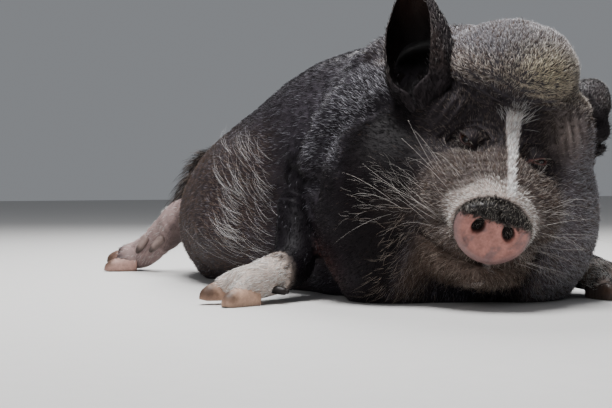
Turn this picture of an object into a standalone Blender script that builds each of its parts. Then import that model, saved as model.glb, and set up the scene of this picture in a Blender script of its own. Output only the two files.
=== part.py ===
"""A pot-bellied pig, life size, lying on its belly with its chin on the ground.

The trunk lies along Y with the rump at +Y, and the pig's right side is at -X. The origin is on the
ground under the belly. The head is turned to the pig's right and tilted, the right forefoot is
splayed out to the right, and the right hind foot lies behind the rump.

The flesh is a set of rounded forms that flow into one another. Each form is a ball or a chain, and
each says over what distance it blends into the forms before it. The hide is a mesh drawn on to the
surface of that blend, then parted into head, neck and torso by thin flat cuts.
"""

import math

import bmesh
import bpy
import numpy as np

# Sizes in metres, angles in degrees
GAP = 0.0003
NUDGE = 0.00003
HIDE_VOXEL = 0.0065
LIMB_VOXEL = 0.0045
BODY_TRIANGLES = 6400
LIMB_TRIANGLES = 420

# Trunk: place along Y, shift to the left, half width, height of the back
TRUNK_STATIONS = (
    (-0.20, 0.000, 0.172, 0.402),
    (-0.10, 0.000, 0.192, 0.392),
    (0.00, 0.002, 0.201, 0.351),
    (0.12, 0.008, 0.196, 0.312),
    (0.22, 0.018, 0.178, 0.286),
    (0.30, 0.026, 0.152, 0.256),
    (0.345, 0.030, 0.126, 0.232),
)
BELLY_SINK = 0.020
# Low spread of the belly on the ground: place along Y, half width
BELLY_STATIONS = ((-0.16, 0.175), (-0.04, 0.205), (0.08, 0.212), (0.18, 0.185), (0.27, 0.130))
BELLY_HEIGHT = 0.088
BELLY_HALF_DEPTH = 0.105

# Head frame
HEAD_ORIGIN = (0.015, -0.4075, 0.195)
HEAD_YAW = 30.0
HEAD_PITCH = 5.0
HEAD_ROLL = 16.0

# Cuts that part the body at its folds
SHOULDER_CUT = {"point": (0.0, -0.200, 0.25), "yaw": 5.0, "lean": 14.0}
NECK_CUT = {"point": (0.035, -0.352, 0.20), "yaw": 24.0, "lean": 4.0}
NECK_ROLL_LEAN = 14.0
COLLAR_YAW = 20.0

# Face
SNOUT_PLACE = (0.196, 0.0, -0.070)
SNOUT_HALF_WIDTH = 0.053
SNOUT_HALF_HEIGHT = 0.044
SNOUT_THICK = 0.016
SNOUT_TILT = 10.0
NOSTRIL_OFFSET = 0.021
NOSTRIL_RADIUS = 0.0090
NOSTRIL_DEPTH = 0.012
EYE_PLACE = (0.082, 0.050, 0.034)
EYE_RADIUS = 0.0125
EYE_LOOK = (0.80, 0.58, 0.12)
LID_THICK = 0.0030
LID_SLIT = (0.0120, 0.0036)
LID_SLANT = 24.0
# Lips, from the front to the corner of the mouth: forward, out, up, half height, half width
UPPER_LIP = (
    (0.170, 0.022, -0.096, 0.016, 0.020),
    (0.142, 0.046, -0.094, 0.018, 0.021),
    (0.100, 0.064, -0.086, 0.020, 0.021),
    (0.062, 0.076, -0.070, 0.018, 0.018),
)
LOWER_LIP = (
    (0.158, 0.000, -0.134, 0.014, 0.020),
    (0.148, 0.030, -0.130, 0.014, 0.016),
    (0.106, 0.058, -0.120, 0.015, 0.017),
    (0.066, 0.074, -0.106, 0.015, 0.016),
)
MOUTH_LINE = ((0.172, 0.0, -0.118), (0.150, 0.044, -0.114), (0.106, 0.080, -0.104), (0.066, 0.100, -0.088))
MOUTH_GROOVE = 0.0022
# Ears in the head's frame: root, the way the ear points, and the way its cup opens
EARS = {
    "ear_right": ((0.032, -0.120, 0.078), (-0.20, -0.42, 0.90), (0.80, -0.60, 0.0)),
    "ear_left": ((0.004, 0.108, 0.084), (-0.84, 0.30, 0.46), (0.35, 0.92, 0.0)),
}
EAR_BASES = {-1: (0.024, -0.114, 0.064), 1: (0.006, 0.102, 0.068)}
EAR_LENGTH = 0.184
EAR_RADIUS = 0.056
EAR_THICK = 0.0060

# Folds of the hide on the right side, each a row of places that is then drawn on to the surface.
# The left side has the same folds, mirrored in the frame that each is given in
NECK_FOLD = (
    (-0.118, -0.322, 0.378), (-0.146, -0.279, 0.353), (-0.172, -0.245, 0.311),
    (-0.176, -0.212, 0.273), (-0.180, -0.185, 0.227),
)
JOWL_FOLD = (
    (0.036, -0.147, 0.075), (0.030, -0.186, 0.047), (0.007, -0.228, 0.012),
    (-0.003, -0.250, -0.023), (-0.005, -0.254, -0.067), (-0.001, -0.248, -0.100),
)
BROW_FOLD = (
    (0.058, -0.118, 0.100), (0.075, -0.074, 0.111), (0.094, -0.022, 0.122), (0.090, 0.010, 0.119),
    (0.076, 0.037, 0.110), (0.068, 0.066, 0.080),
)
FOLD_RADIUS = 0.0045
FOLD_BLEND = 0.026
# The left side of the neck is stretched, so its folds are shallower
LEFT_FOLDS = 0.5

# Claws
CLAW_LENGTH = 0.050
CLAW_WIDTH = 0.029
CLAW_HEIGHT = 0.034
DEW_LENGTH = 0.026
DEW_RADIUS = 0.0085

# Locks of bristle: each patch is laid out in rows on the surface of one node. Places and ways to lie
# are in the world for trunk and crest, and in the head's frame for the beard
LOCK_SEED = 7
LOCKS = {
    "torso": (
        {"count": 15, "from": (-0.21, -0.10, 0.07), "to": (-0.19, 0.00, 0.23), "lie": (0, 1.0, 0.40)},
        {"count": 11, "from": (-0.21, -0.02, 0.08), "to": (-0.19, 0.07, 0.21), "lie": (0, 1.0, 0.30)},
        {"count": 13, "from": (0.21, -0.08, 0.09), "to": (0.19, 0.05, 0.22), "lie": (0, 1.0, 0.35)},
    ),
}
LOCK_LENGTH = 0.064
LOCK_WIDTH = 0.0075
LOCK_THICK = 0.0022
TUFT_LOCKS = 11
TUFT_LENGTH = 0.060

COLOURS = {
    "black_hide": ((0.022, 0.020, 0.023, 1.0), 0.62),
    "pale_hide": ((0.62, 0.47, 0.40, 1.0), 0.60),
    "snout_skin": ((0.36, 0.17, 0.16, 1.0), 0.45),
    "claw_horn": ((0.42, 0.30, 0.20, 1.0), 0.45),
    "eye_dark": ((0.030, 0.016, 0.010, 1.0), 0.10),
}


def clear_scene():
    for obj in list(bpy.data.objects):
        bpy.data.objects.remove(obj)


def material(name):
    found = bpy.data.materials.get(name)
    if found:
        return found
    made = bpy.data.materials.new(name)
    made.use_nodes = True
    shader = made.node_tree.nodes["Principled BSDF"]
    colour, roughness = COLOURS[name]
    shader.inputs["Base Color"].default_value = colour
    shader.inputs["Roughness"].default_value = roughness
    shader.inputs["Metallic"].default_value = 0.0
    return made


def head_axes(roll=True):
    """Forward, left and up of the head, as rows: turned right, pitched down, then rolled."""
    yaw, pitch, roll = (math.radians(a) for a in (HEAD_YAW, HEAD_PITCH, HEAD_ROLL if roll else 0.0))
    forward = np.array([-math.sin(yaw), -math.cos(yaw), 0.0])
    left = np.array([math.cos(yaw), -math.sin(yaw), 0.0])
    up = np.array([0.0, 0.0, 1.0])
    nose = forward * math.cos(pitch) - up * math.sin(pitch)
    crown = forward * math.sin(pitch) + up * math.cos(pitch)
    return np.array([
        nose,
        left * math.cos(roll) - crown * math.sin(roll),
        left * math.sin(roll) + crown * math.cos(roll),
    ])


HEAD_AXES = head_axes()
WORLD_AXES = np.eye(3)


def on_head(place):
    """World place of a point given in the head's own frame: forward, left, up."""
    return np.asarray(HEAD_ORIGIN) + np.asarray(place, float) @ HEAD_AXES


def sided(place, side):
    """place on the pig's right for side -1, on its left for side +1."""
    return (place[0], side * place[1], place[2])


def sided_row(row, side):
    return (row[0], side * row[1], *row[2:])


def closed_tube(rings):
    """Points and faces of a tube through rings (count, sides, 3), closed by a fan at each end."""
    rings = np.asarray(rings, float)
    count, sides, _ = rings.shape
    points = np.concatenate([rings.reshape(-1, 3), rings[0].mean(0)[None], rings[-1].mean(0)[None]])
    first, last = count * sides, count * sides + 1
    faces = []
    for i in range(count - 1):
        for j in range(sides):
            k = (j + 1) % sides
            faces.append((i * sides + j, i * sides + k, (i + 1) * sides + k, (i + 1) * sides + j))
    for j in range(sides):
        k = (j + 1) % sides
        faces.append((first, k, j))
        faces.append((last, (count - 1) * sides + j, (count - 1) * sides + k))
    return points, faces


def smooth_rows(rows, count):
    """Catmull-Rom curve through rows of numbers, read at count even steps."""
    rows = np.asarray(rows, float)
    padded = np.vstack([2 * rows[0] - rows[1], rows, 2 * rows[-1] - rows[-2]])
    at = np.linspace(0, len(rows) - 1, count)
    i = np.minimum(at.astype(int), len(rows) - 2)
    t = (at - i)[:, None]
    a, b, c, d = (padded[i + k] for k in range(4))
    return 0.5 * (2 * b + (c - a) * t + (2 * a - 5 * b + 4 * c - d) * t**2
                  + (3 * b - a - 3 * c + d) * t**3)


def mesh_object(name, points, faces, finish=None):
    mesh = bpy.data.meshes.new(name)
    mesh.from_pydata([tuple(p) for p in points], [], [tuple(f) for f in faces])
    shape = bmesh.new()
    shape.from_mesh(mesh)
    bmesh.ops.recalc_face_normals(shape, faces=shape.faces)
    shape.to_mesh(mesh)
    shape.free()
    obj = bpy.data.objects.new(name, mesh)
    bpy.context.scene.collection.objects.link(obj)
    if finish:
        mesh.materials.append(material(finish))
    return obj


class Ball:
    """Ellipsoid form. blend is how far it flows into earlier forms; carve takes it away instead."""

    def __init__(self, centre, radii, axes=WORLD_AXES, blend=0.02, carve=False):
        self.centre = np.asarray(centre, float)
        self.radii = np.asarray(radii, float)
        self.axes = np.asarray(axes, float)
        self.blend = blend
        self.carve = carve

    def distance(self, points):
        local = (points - self.centre) @ self.axes.T
        first = np.linalg.norm(local / self.radii, axis=1)
        second = np.linalg.norm(local / self.radii**2, axis=1)
        return first * (first - 1.0) / np.maximum(second, 1e-9)

    def surface(self, rings=14, sides=20):
        height = np.radians(np.linspace(-80, 80, rings))
        turn = np.linspace(0, 2 * math.pi, sides, endpoint=False)
        local = np.stack([
            np.cos(height)[:, None] * np.cos(turn)[None],
            np.cos(height)[:, None] * np.sin(turn)[None],
            np.sin(height)[:, None] * np.ones(sides)[None],
        ], -1) * self.radii
        points, faces = closed_tube(local @ self.axes + self.centre)
        points[-2] = self.centre - self.axes[2] * self.radii[2]
        points[-1] = self.centre + self.axes[2] * self.radii[2]
        return points, faces


class Chain:
    """Tube form with oval sections, through stations (x, y, z, half width, half height)."""

    def __init__(self, stations, side, steps=12, blend=0.02, carve=False, frame=None):
        rows = smooth_rows(stations, steps)
        if frame is not None:
            rows[:, :3] = np.asarray(HEAD_ORIGIN) + rows[:, :3] @ frame
        self.centre, self.wide, self.high = rows[:, :3], rows[:, 3], rows[:, 4]
        self.tangent = np.gradient(self.centre, axis=0)
        self.tangent /= np.linalg.norm(self.tangent, axis=1)[:, None]
        side = np.asarray(side, float)
        self.across = side - (self.tangent @ side)[:, None] * self.tangent
        self.across /= np.linalg.norm(self.across, axis=1)[:, None]
        self.upward = np.cross(self.tangent, self.across)
        self.blend = blend
        self.carve = carve

    def distance(self, points):
        nearest = np.full(len(points), 1e9)
        for i in range(len(self.centre) - 1):
            start, run = self.centre[i], self.centre[i + 1] - self.centre[i]
            length = np.linalg.norm(run)
            along = (points - start) @ run / length**2
            t = np.clip(along, 0.0, 1.0)
            wide = self.wide[i] + (self.wide[i + 1] - self.wide[i]) * t
            high = self.high[i] + (self.high[i + 1] - self.high[i]) * t
            off = points - start - t[:, None] * run
            across = off @ (self.across[i] + self.across[i + 1]) / 2
            upward = off @ (self.upward[i] + self.upward[i + 1]) / 2
            beyond = (along - t) * length
            end = np.minimum(wide, high)
            first = np.sqrt((across / wide)**2 + (upward / high)**2 + (beyond / end)**2)
            second = np.sqrt((across / wide**2)**2 + (upward / high**2)**2 + (beyond / end**2)**2)
            nearest = np.minimum(nearest, first * (first - 1.0) / np.maximum(second, 1e-9))
        return nearest

    def surface(self, sides=18):
        turn = np.linspace(0, 2 * math.pi, sides, endpoint=False)
        spokes = (np.cos(turn)[None, :, None] * (self.across * self.wide[:, None])[:, None]
                  + np.sin(turn)[None, :, None] * (self.upward * self.high[:, None])[:, None])
        rings = [self.centre[i] + spokes[i] for i in range(len(self.centre))]
        caps = np.radians([15, 40, 65])
        first = min(self.wide[0], self.high[0])
        last = min(self.wide[-1], self.high[-1])
        head = [self.centre[0] - self.tangent[0] * first * math.cos(a) + spokes[0] * math.sin(a) for a in caps]
        tail = [self.centre[-1] + self.tangent[-1] * last * math.cos(a) + spokes[-1] * math.sin(a)
                for a in caps[::-1]]
        return closed_tube(head + rings + tail)


def blended(forms, points):
    """Signed distance from the blend of the forms, taken in order."""
    total = forms[0].distance(points)
    for form in forms[1:]:
        other = -form.distance(points) if form.carve else form.distance(points)
        sign = -1.0 if form.carve else 1.0
        near = np.maximum(form.blend - np.abs(total - other), 0.0) / form.blend
        total = sign * np.minimum(sign * total, sign * other) - sign * near**2 * form.blend / 4
    return total


def flesh(name, forms, voxel, finish, rounds=5):
    """Mesh on the blended surface: the forms are remeshed into one, then drawn on to the blend."""
    shape = bmesh.new()
    for form in forms:
        if not form.carve:
            piece = bpy.data.meshes.new("piece")
            points, faces = form.surface()
            piece.from_pydata([tuple(p) for p in points], [], [tuple(f) for f in faces])
            shape.from_mesh(piece)
            bpy.data.meshes.remove(piece)
    bmesh.ops.recalc_face_normals(shape, faces=shape.faces)
    mesh = bpy.data.meshes.new(name)
    shape.to_mesh(mesh)
    shape.free()
    obj = bpy.data.objects.new(name, mesh)
    bpy.context.scene.collection.objects.link(obj)
    remesh = obj.modifiers.new("fuse", "REMESH")
    remesh.mode = "VOXEL"
    remesh.voxel_size = voxel
    apply_modifiers(obj)
    keep_largest(obj)
    for _ in range(rounds):
        draw_on_blend(obj, forms, voxel)
        soften = obj.modifiers.new("soften", "SMOOTH")
        soften.factor = 0.5
        soften.iterations = 2
        apply_modifiers(obj)
    draw_on_blend(obj, forms, voxel)
    obj.data.materials.clear()
    obj.data.materials.append(material(finish))
    return obj


def drawn(forms, points, reach):
    """The points moved along the blend's slope on to its surface, and the slope there."""
    step = 0.0005
    here = blended(forms, points)
    slope = np.stack([(blended(forms, points + step * axis) - here) / step for axis in WORLD_AXES], 1)
    steep = np.maximum((slope**2).sum(1), 0.2)
    move = np.clip(here / steep, -2 * reach, 2 * reach)
    return points - slope * move[:, None], slope


def draw_on_blend(obj, forms, reach):
    points = np.empty(len(obj.data.vertices) * 3)
    obj.data.vertices.foreach_get("co", points)
    points, _ = drawn(forms, points.reshape(-1, 3), reach)
    obj.data.vertices.foreach_set("co", points.ravel())
    obj.data.update()


def apply_modifiers(obj):
    graph = bpy.context.evaluated_depsgraph_get()
    made = bpy.data.meshes.new_from_object(obj.evaluated_get(graph))
    obj.modifiers.clear()
    obj.data = made
    return obj


def keep_largest(obj):
    """Keeps only the closed surface with the most area."""
    shape = bmesh.new()
    shape.from_mesh(obj.data)
    left = set(shape.faces)
    groups = []
    while left:
        stack = [left.pop()]
        group = list(stack)
        while stack:
            for edge in stack.pop().edges:
                for face in edge.link_faces:
                    if face in left:
                        left.discard(face)
                        stack.append(face)
                        group.append(face)
        groups.append(group)
    if len(groups) > 1:
        groups.sort(key=lambda g: sum(f.calc_area() for f in g))
        loose = [face for group in groups[:-1] for face in group]
        bmesh.ops.delete(shape, geom=loose, context="FACES")
        shape.to_mesh(obj.data)
    shape.free()
    return obj


def tidy_mesh(obj, within=0.00001):
    shape = bmesh.new()
    shape.from_mesh(obj.data)
    bmesh.ops.remove_doubles(shape, verts=shape.verts, dist=within)
    bmesh.ops.dissolve_degenerate(shape, dist=within, edges=shape.edges)
    bmesh.ops.triangulate(shape, faces=shape.faces)
    shape.to_mesh(obj.data)
    shape.free()
    return obj


def thin_to(obj, triangles):
    now = sum(len(face.vertices) - 2 for face in obj.data.polygons)
    thin = obj.modifiers.new("thin", "DECIMATE")
    thin.ratio = min(1.0, triangles / now)
    return apply_modifiers(obj)


def sound(obj):
    """True if each edge of the mesh has two faces."""
    shape = bmesh.new()
    shape.from_mesh(obj.data)
    good = all(len(edge.link_faces) == 2 for edge in shape.edges)
    shape.free()
    return good


def half(obj, name, point, normal):
    """Copy of obj with only what lies behind the plane, closed by a flat face.

    Where the plane grazes the surface it is moved back by a hair and the cut is made again.
    """
    made = bpy.data.objects.new(name, bpy.data.meshes.new(name))
    bpy.context.scene.collection.objects.link(made)
    for nudge in range(6):
        shape = bmesh.new()
        shape.from_mesh(obj.data)
        bmesh.ops.bisect_plane(shape, geom=shape.verts[:] + shape.edges[:] + shape.faces[:],
                               plane_co=np.asarray(point) - np.asarray(normal) * NUDGE * nudge,
                               plane_no=normal, clear_outer=True)
        rim = [edge for edge in shape.edges if edge.is_boundary]
        bmesh.ops.holes_fill(shape, edges=rim, sides=0)
        bmesh.ops.recalc_face_normals(shape, faces=shape.faces)
        shape.to_mesh(made.data)
        shape.free()
        keep_largest(tidy_mesh(made))
        if sound(made):
            break
    for slot in obj.data.materials:
        if not made.data.materials:
            made.data.materials.append(slot)
    return made


def part_by(obj, cut, front, back):
    """Parts obj by a flat cut, turned and leaning forward at its top, and returns both sides."""
    yaw, lean = math.radians(cut["yaw"]), math.radians(cut["lean"])
    normal = np.array([-math.sin(yaw) * math.cos(lean), -math.cos(yaw) * math.cos(lean), -math.sin(lean)])
    point = np.asarray(cut["point"], float)
    ahead = half(obj, front, point + normal * GAP / 2, -normal)
    behind = half(obj, back, point - normal * GAP / 2, normal)
    bpy.data.objects.remove(obj)
    return ahead, behind


def swollen(obj, by=GAP):
    """A copy of obj grown by a small gap, to cut its neighbours with."""
    mesh = obj.data.copy()
    count = len(mesh.vertices)
    points = np.empty(count * 3)
    normals = np.empty(count * 3)
    mesh.vertices.foreach_get("co", points)
    mesh.vertex_normals.foreach_get("vector", normals)
    mesh.vertices.foreach_set("co", points + normals * by)
    copy = bpy.data.objects.new(obj.name + "_cutter", mesh)
    bpy.context.scene.collection.objects.link(copy)
    copy.hide_render = True
    copy.display_type = "WIRE"
    return copy


def boolean(obj, cutters, operation):
    """Cuts obj by each cutter, or joins it, with a hair's shift where the two only graze."""
    for cutter in cutters:
        before = obj.data.copy()
        for nudge in range(6):
            obj.data = before.copy()
            cutter.location = (NUDGE * nudge, -NUDGE * nudge, NUDGE * nudge)
            step = obj.modifiers.new("cut", "BOOLEAN")
            step.operation = operation
            step.object = cutter
            step.solver = "EXACT"
            apply_modifiers(obj)
            keep_largest(tidy_mesh(obj))
            if sound(obj):
                break
        bpy.data.objects.remove(cutter)
    return obj


def cut_by(obj, neighbours):
    """Cuts obj clear of its neighbours by the gap."""
    return boolean(obj, [swollen(neighbour) for neighbour in neighbours], "DIFFERENCE")


def level_floor(obj):
    """Cuts off what lies under the ground, which leaves a small flat to rest on."""
    mesh_name = obj.name
    made = half(obj, "level", (0, 0, 0), (0, 0, -1))
    bpy.data.objects.remove(obj)
    made.name = mesh_name
    return made


def shade(obj):
    obj.data.shade_smooth()
    obj.data.set_sharp_from_angle(angle=math.radians(50))
    return obj


def head_ball(place, radii, **blend):
    return Ball(on_head(place), radii, HEAD_AXES, **blend)


def head_chain(stations, side=HEAD_AXES[1], **blend):
    return Chain(stations, side, frame=HEAD_AXES, **blend)


def trunk_forms():
    barrel = [(x, y, (top - BELLY_SINK) / 2, wide, (top + BELLY_SINK) / 2)
              for y, x, wide, top in TRUNK_STATIONS]
    spread = [(0.0, y, BELLY_HEIGHT, wide, BELLY_HALF_DEPTH) for y, wide in BELLY_STATIONS]
    forms = [
        Chain(barrel, (1, 0, 0), steps=20),
        Chain(spread, (1, 0, 0), steps=14, blend=0.04),
    ]
    for side, x, wide in ((-1, -0.080, 0.085), (1, 0.108, 0.102)):
        forms.append(Ball((x, 0.225, 0.100), (wide, 0.120, 0.110), blend=0.02))
    return forms


def neck_forms():
    """The roll behind the neck fold, the collar of the neck, and the two sides of the throat."""
    lean = math.radians(NECK_ROLL_LEAN)
    turn = math.radians(COLLAR_YAW)
    roll_axes = np.array([
        [1, 0, 0],
        [0, math.cos(lean), math.sin(lean)],
        [0, -math.sin(lean), math.cos(lean)],
    ])
    collar_axes = np.array([
        [math.cos(turn), -math.sin(turn), 0],
        [math.sin(turn), math.cos(turn), 0],
        [0, 0, 1],
    ])
    return [
        Ball((0.0, -0.240, 0.195), (0.206, 0.074, 0.232), roll_axes, blend=0.050),
        Ball((0.010, -0.355, 0.170), (0.200, 0.095, 0.245), collar_axes, blend=0.030),
        Ball((-0.110, -0.325, 0.130), (0.106, 0.115, 0.150), blend=0.03),
        Ball((0.105, -0.390, 0.125), (0.100, 0.120, 0.140), blend=0.03),
    ]


def head_forms():
    level = head_axes(roll=False)
    forms = [
        head_ball((-0.030, 0, 0.040), (0.110, 0.115, 0.125), blend=0.04),
        Ball(on_head((0.014, -0.012, 0.148)), (0.086, 0.102, 0.074), level, blend=0.035),
        head_chain([
            (0.000, 0, 0.000, 0.100, 0.085),
            (0.070, 0, -0.012, 0.086, 0.070),
            (0.130, 0, -0.042, 0.068, 0.056),
            (0.170, 0, -0.062, 0.060, 0.047),
        ], steps=8, blend=0.03),
        head_ball((0.060, 0, -0.118), (0.105, 0.080, 0.052), blend=0.025),
    ]
    for side in (-1, 1):
        forms += [
            head_ball(sided((0.000, 0.090, -0.060), side), (0.092, 0.068, 0.118), blend=0.04),
            head_ball(sided((0.088, 0.062, -0.040), side), (0.066, 0.044, 0.054), blend=0.03),
            head_ball(sided((0.018, 0.092, 0.092), side), (0.044, 0.038, 0.050), blend=0.025),
            head_ball(sided((0.036, 0.086, 0.068), side), (0.046, 0.034, 0.046), blend=0.02),
            head_ball(EAR_BASES[side], (0.046, 0.048, 0.048), blend=0.022),
            head_ball(sided((0.106, 0.056, 0.036), side), (0.030, 0.034, 0.016), blend=0.014, carve=True),
            head_ball(sided(EYE_PLACE, side), (EYE_RADIUS + LID_THICK,) * 3, blend=0.008),
            head_chain([sided_row(row, side) for row in LOWER_LIP], HEAD_AXES[2], steps=8, blend=0.010),
            head_chain([sided_row(row, side) for row in UPPER_LIP], HEAD_AXES[2], steps=8, blend=0.006),
        ]
    return forms


def fold(forms, places, side, strength=1.0):
    """A crease along the surface, through the places, deepest between its ends."""
    places = np.asarray(places, float)
    for _ in range(4):
        places, _ = drawn(forms, places, 0.02)
    depth = FOLD_RADIUS * strength * (0.12 + 0.88 * np.sin(np.linspace(0.1, 3.0, len(places))))
    return Chain([(*place, r, r) for place, r in zip(places, depth)], side, blend=FOLD_BLEND * strength,
                 carve=True)


def body_forms():
    forms = trunk_forms() + neck_forms() + head_forms()
    creases = [fold(forms, [on_head(place) for place in BROW_FOLD], HEAD_AXES[0])]
    for side, strength in ((-1, 1.0), (1, LEFT_FOLDS)):
        neck = [(-side * x, y, z) for x, y, z in NECK_FOLD]
        jowl = [on_head(sided(place, -side)) for place in JOWL_FOLD]
        creases += [fold(forms, neck, (1, 0, 0), strength), fold(forms, jowl, (1, 0, 0), strength)]
    return forms + creases


def body_parts():
    whole = flesh("whole", body_forms(), HIDE_VOXEL, "black_hide")
    thin_to(whole, BODY_TRIANGLES)
    whole = level_floor(whole)
    ahead, torso = part_by(whole, SHOULDER_CUT, "ahead", "torso")
    head, neck = part_by(ahead, NECK_CUT, "head", "neck")
    return head, neck, torso


def lock(path, up, width, thick):
    """Flat lock of three sides along a path, widest at a third and drawn out to its tip."""
    path = smooth_rows(path, 5)
    tangent = np.gradient(path, axis=0)
    tangent /= np.linalg.norm(tangent, axis=1)[:, None]
    across = np.cross(tangent, up)
    across /= np.linalg.norm(across, axis=1)[:, None]
    out = np.cross(across, tangent)
    share = np.array([0.75, 1.0, 0.85, 0.50, 0.10])[:, None]
    rings = np.stack([path - across * width * share, path + across * width * share,
                      path + out * thick * 2 * share], 1)
    return mesh_object("lock", *closed_tube(rings))


def laid_lock(forms, root, lie, length):
    """A lock that starts under the surface at root and bends along it, lifting towards the tip."""
    at = np.asarray(root, float)[None]
    for _ in range(5):
        at, slope = drawn(forms, at, 0.03)
    lie = np.asarray(lie, float)
    path = []
    for lift in (-0.0035, 0.0020, 0.0042, 0.0080):
        out = slope[0] / np.linalg.norm(slope[0])
        path.append(at[0] + out * lift)
        step = lie - out * (lie @ out)
        at, slope = drawn(forms, at + step / np.linalg.norm(step) * length / 3, 0.03)
    return lock(path, out, LOCK_WIDTH, LOCK_THICK)


def join_all(obj, pieces):
    """One union of obj with all the pieces, through a collection."""
    group = bpy.data.collections.new("locks")
    bpy.context.scene.collection.children.link(group)
    for piece in pieces:
        bpy.context.scene.collection.objects.unlink(piece)
        group.objects.link(piece)
    step = obj.modifiers.new("locks", "BOOLEAN")
    step.operation = "UNION"
    step.operand_type = "COLLECTION"
    step.collection = group
    step.solver = "EXACT"
    apply_modifiers(obj)
    for piece in pieces:
        bpy.data.objects.remove(piece)
    bpy.data.collections.remove(group)
    return keep_largest(tidy_mesh(obj))


def flank_locks(forms):
    """Overlapping locks in two patches on the right flank and one on the left."""
    draw = np.random.default_rng(LOCK_SEED)
    made = []
    for patch in LOCKS["torso"]:
        start, end = np.array(patch["from"]), np.array(patch["to"])
        for i in range(patch["count"]):
            share = (i + 0.5) / patch["count"]
            root = start + (end - start) * np.array([share, (i * 0.618) % 1.0, share])
            lie = np.array(patch["lie"]) + draw.normal(0, 0.10, 3)
            made.append(laid_lock(forms, root, lie, LOCK_LENGTH * draw.uniform(0.85, 1.2)))
    return made


def make_snout():
    """Disc at the end of the muzzle: a short oval drum with a round rim and two bored nostrils."""
    tilt = math.radians(SNOUT_TILT)
    out = HEAD_AXES[0] * math.cos(tilt) - HEAD_AXES[2] * math.sin(tilt)
    up = HEAD_AXES[0] * math.sin(tilt) + HEAD_AXES[2] * math.cos(tilt)
    left = HEAD_AXES[1]
    turn = np.linspace(0, 2 * math.pi, 20, endpoint=False)
    profile = [(-SNOUT_THICK, 0.80), (-SNOUT_THICK * 0.4, 0.97), (0.0, 1.0), (SNOUT_THICK * 0.35, 0.95),
               (SNOUT_THICK * 0.45, 0.80), (SNOUT_THICK * 0.30, 0.45)]
    centre = on_head(SNOUT_PLACE)
    rings = [centre + out * shift
             + np.cos(turn)[:, None] * left * SNOUT_HALF_WIDTH * share
             + np.sin(turn)[:, None] * up * SNOUT_HALF_HEIGHT * share * (1 - 0.10 * np.sin(turn))[:, None]
             for shift, share in profile]
    snout = mesh_object("snout", *closed_tube(rings), "snout_skin")
    bores = []
    for side in (-1, 1):
        at = centre + left * side * NOSTRIL_OFFSET + up * 0.004
        bore = Chain([(*(at - out * NOSTRIL_DEPTH * 0.4), NOSTRIL_RADIUS * 0.7, NOSTRIL_RADIUS * 0.7),
                      (*(at + out * NOSTRIL_DEPTH), NOSTRIL_RADIUS, NOSTRIL_RADIUS * 1.25)], left, steps=3)
        bores.append(mesh_object("bore", *bore.surface(sides=8)))
    return boolean(snout, bores, "DIFFERENCE")


def make_eyes():
    eyes = []
    for name, side in (("eye_right", -1), ("eye_left", 1)):
        ball = Ball(on_head(sided(EYE_PLACE, side)), (EYE_RADIUS,) * 3, HEAD_AXES)
        eyes.append(mesh_object(name, *ball.surface(rings=7, sides=12), "eye_dark"))
    return eyes


def lid_slits():
    """Flat lens-shaped cutters that open each pair of lids over its eye."""
    cutters = []
    for side in (-1, 1):
        look = np.array(sided(EYE_LOOK, side))
        look /= np.linalg.norm(look)
        level = np.cross((0, 0, 1), look)
        level /= np.linalg.norm(level)
        slant = math.radians(LID_SLANT) * side
        rise = np.cross(look, level)
        along = level * math.cos(slant) + rise * math.sin(slant)
        axes = np.array([along, np.cross(look, along), look]) @ HEAD_AXES
        centre = on_head(np.array(sided(EYE_PLACE, side)) + look * EYE_RADIUS)
        lens = Ball(centre, (*LID_SLIT, EYE_RADIUS * 0.7), axes)
        cutters.append(mesh_object("slit", *lens.surface(rings=9, sides=12)))
    return cutters


def mouth_groove():
    """Thin tube along the line where the lips meet, round the chin from corner to corner."""
    half = list(MOUTH_LINE)
    places = [sided(place, -1) for place in half[:0:-1]] + half
    stations = [(*place, MOUTH_GROOVE, MOUTH_GROOVE * 3) for place in places]
    return mesh_object("groove", *head_chain(stations, HEAD_AXES[2], steps=16).surface(sides=6))


def make_ear(name):
    """Cupped ear: a shell bent round its axis, nearly closed at the root and open above it."""
    root, axis, opening = (np.array(row) for row in EARS[name])
    axis /= np.linalg.norm(axis)
    opening -= axis * (opening @ axis)
    opening /= np.linalg.norm(opening)
    across = np.cross(axis, opening)
    rows, columns = 10, 8
    reach_in = np.linspace(-0.16, 1, rows)
    along = np.maximum(reach_in, 0)
    radius = EAR_RADIUS * (0.80 + 0.62 * along - 1.36 * along**2.2)
    wrap = np.radians(146 - 46 * along**1.2)
    turn = np.linspace(-1, 1, columns)[None] * wrap[:, None]
    middle = root + axis * (reach_in * EAR_LENGTH)[:, None] - opening * (0.012 * along**2)[:, None]
    thick = EAR_THICK * (1 - 0.55 * along)

    def shell(offset):
        reach = np.maximum(radius + offset, 0.0012)[:, None, None]
        spoke = -np.cos(turn)[..., None] * opening + np.sin(turn)[..., None] * across
        return middle[:, None] + spoke * reach

    outer, inner = shell(thick / 2), shell(-thick / 2)
    rings = np.concatenate([outer, inner[:, ::-1]], 1)
    points, faces = closed_tube(np.asarray(HEAD_ORIGIN) + rings @ HEAD_AXES)
    faces = [face for face in faces if len(face) == 4]
    last = rows * columns * 2
    for row, flip in ((0, False), (rows - 1, True)):
        start = row * columns * 2
        for j in range(columns - 1):
            quad = (start + j, start + j + 1, start + 2 * columns - 2 - j, start + 2 * columns - 1 - j)
            faces.append(quad[::-1] if flip else quad)
    return mesh_object(name, points[:last], faces, "black_hide")


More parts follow.
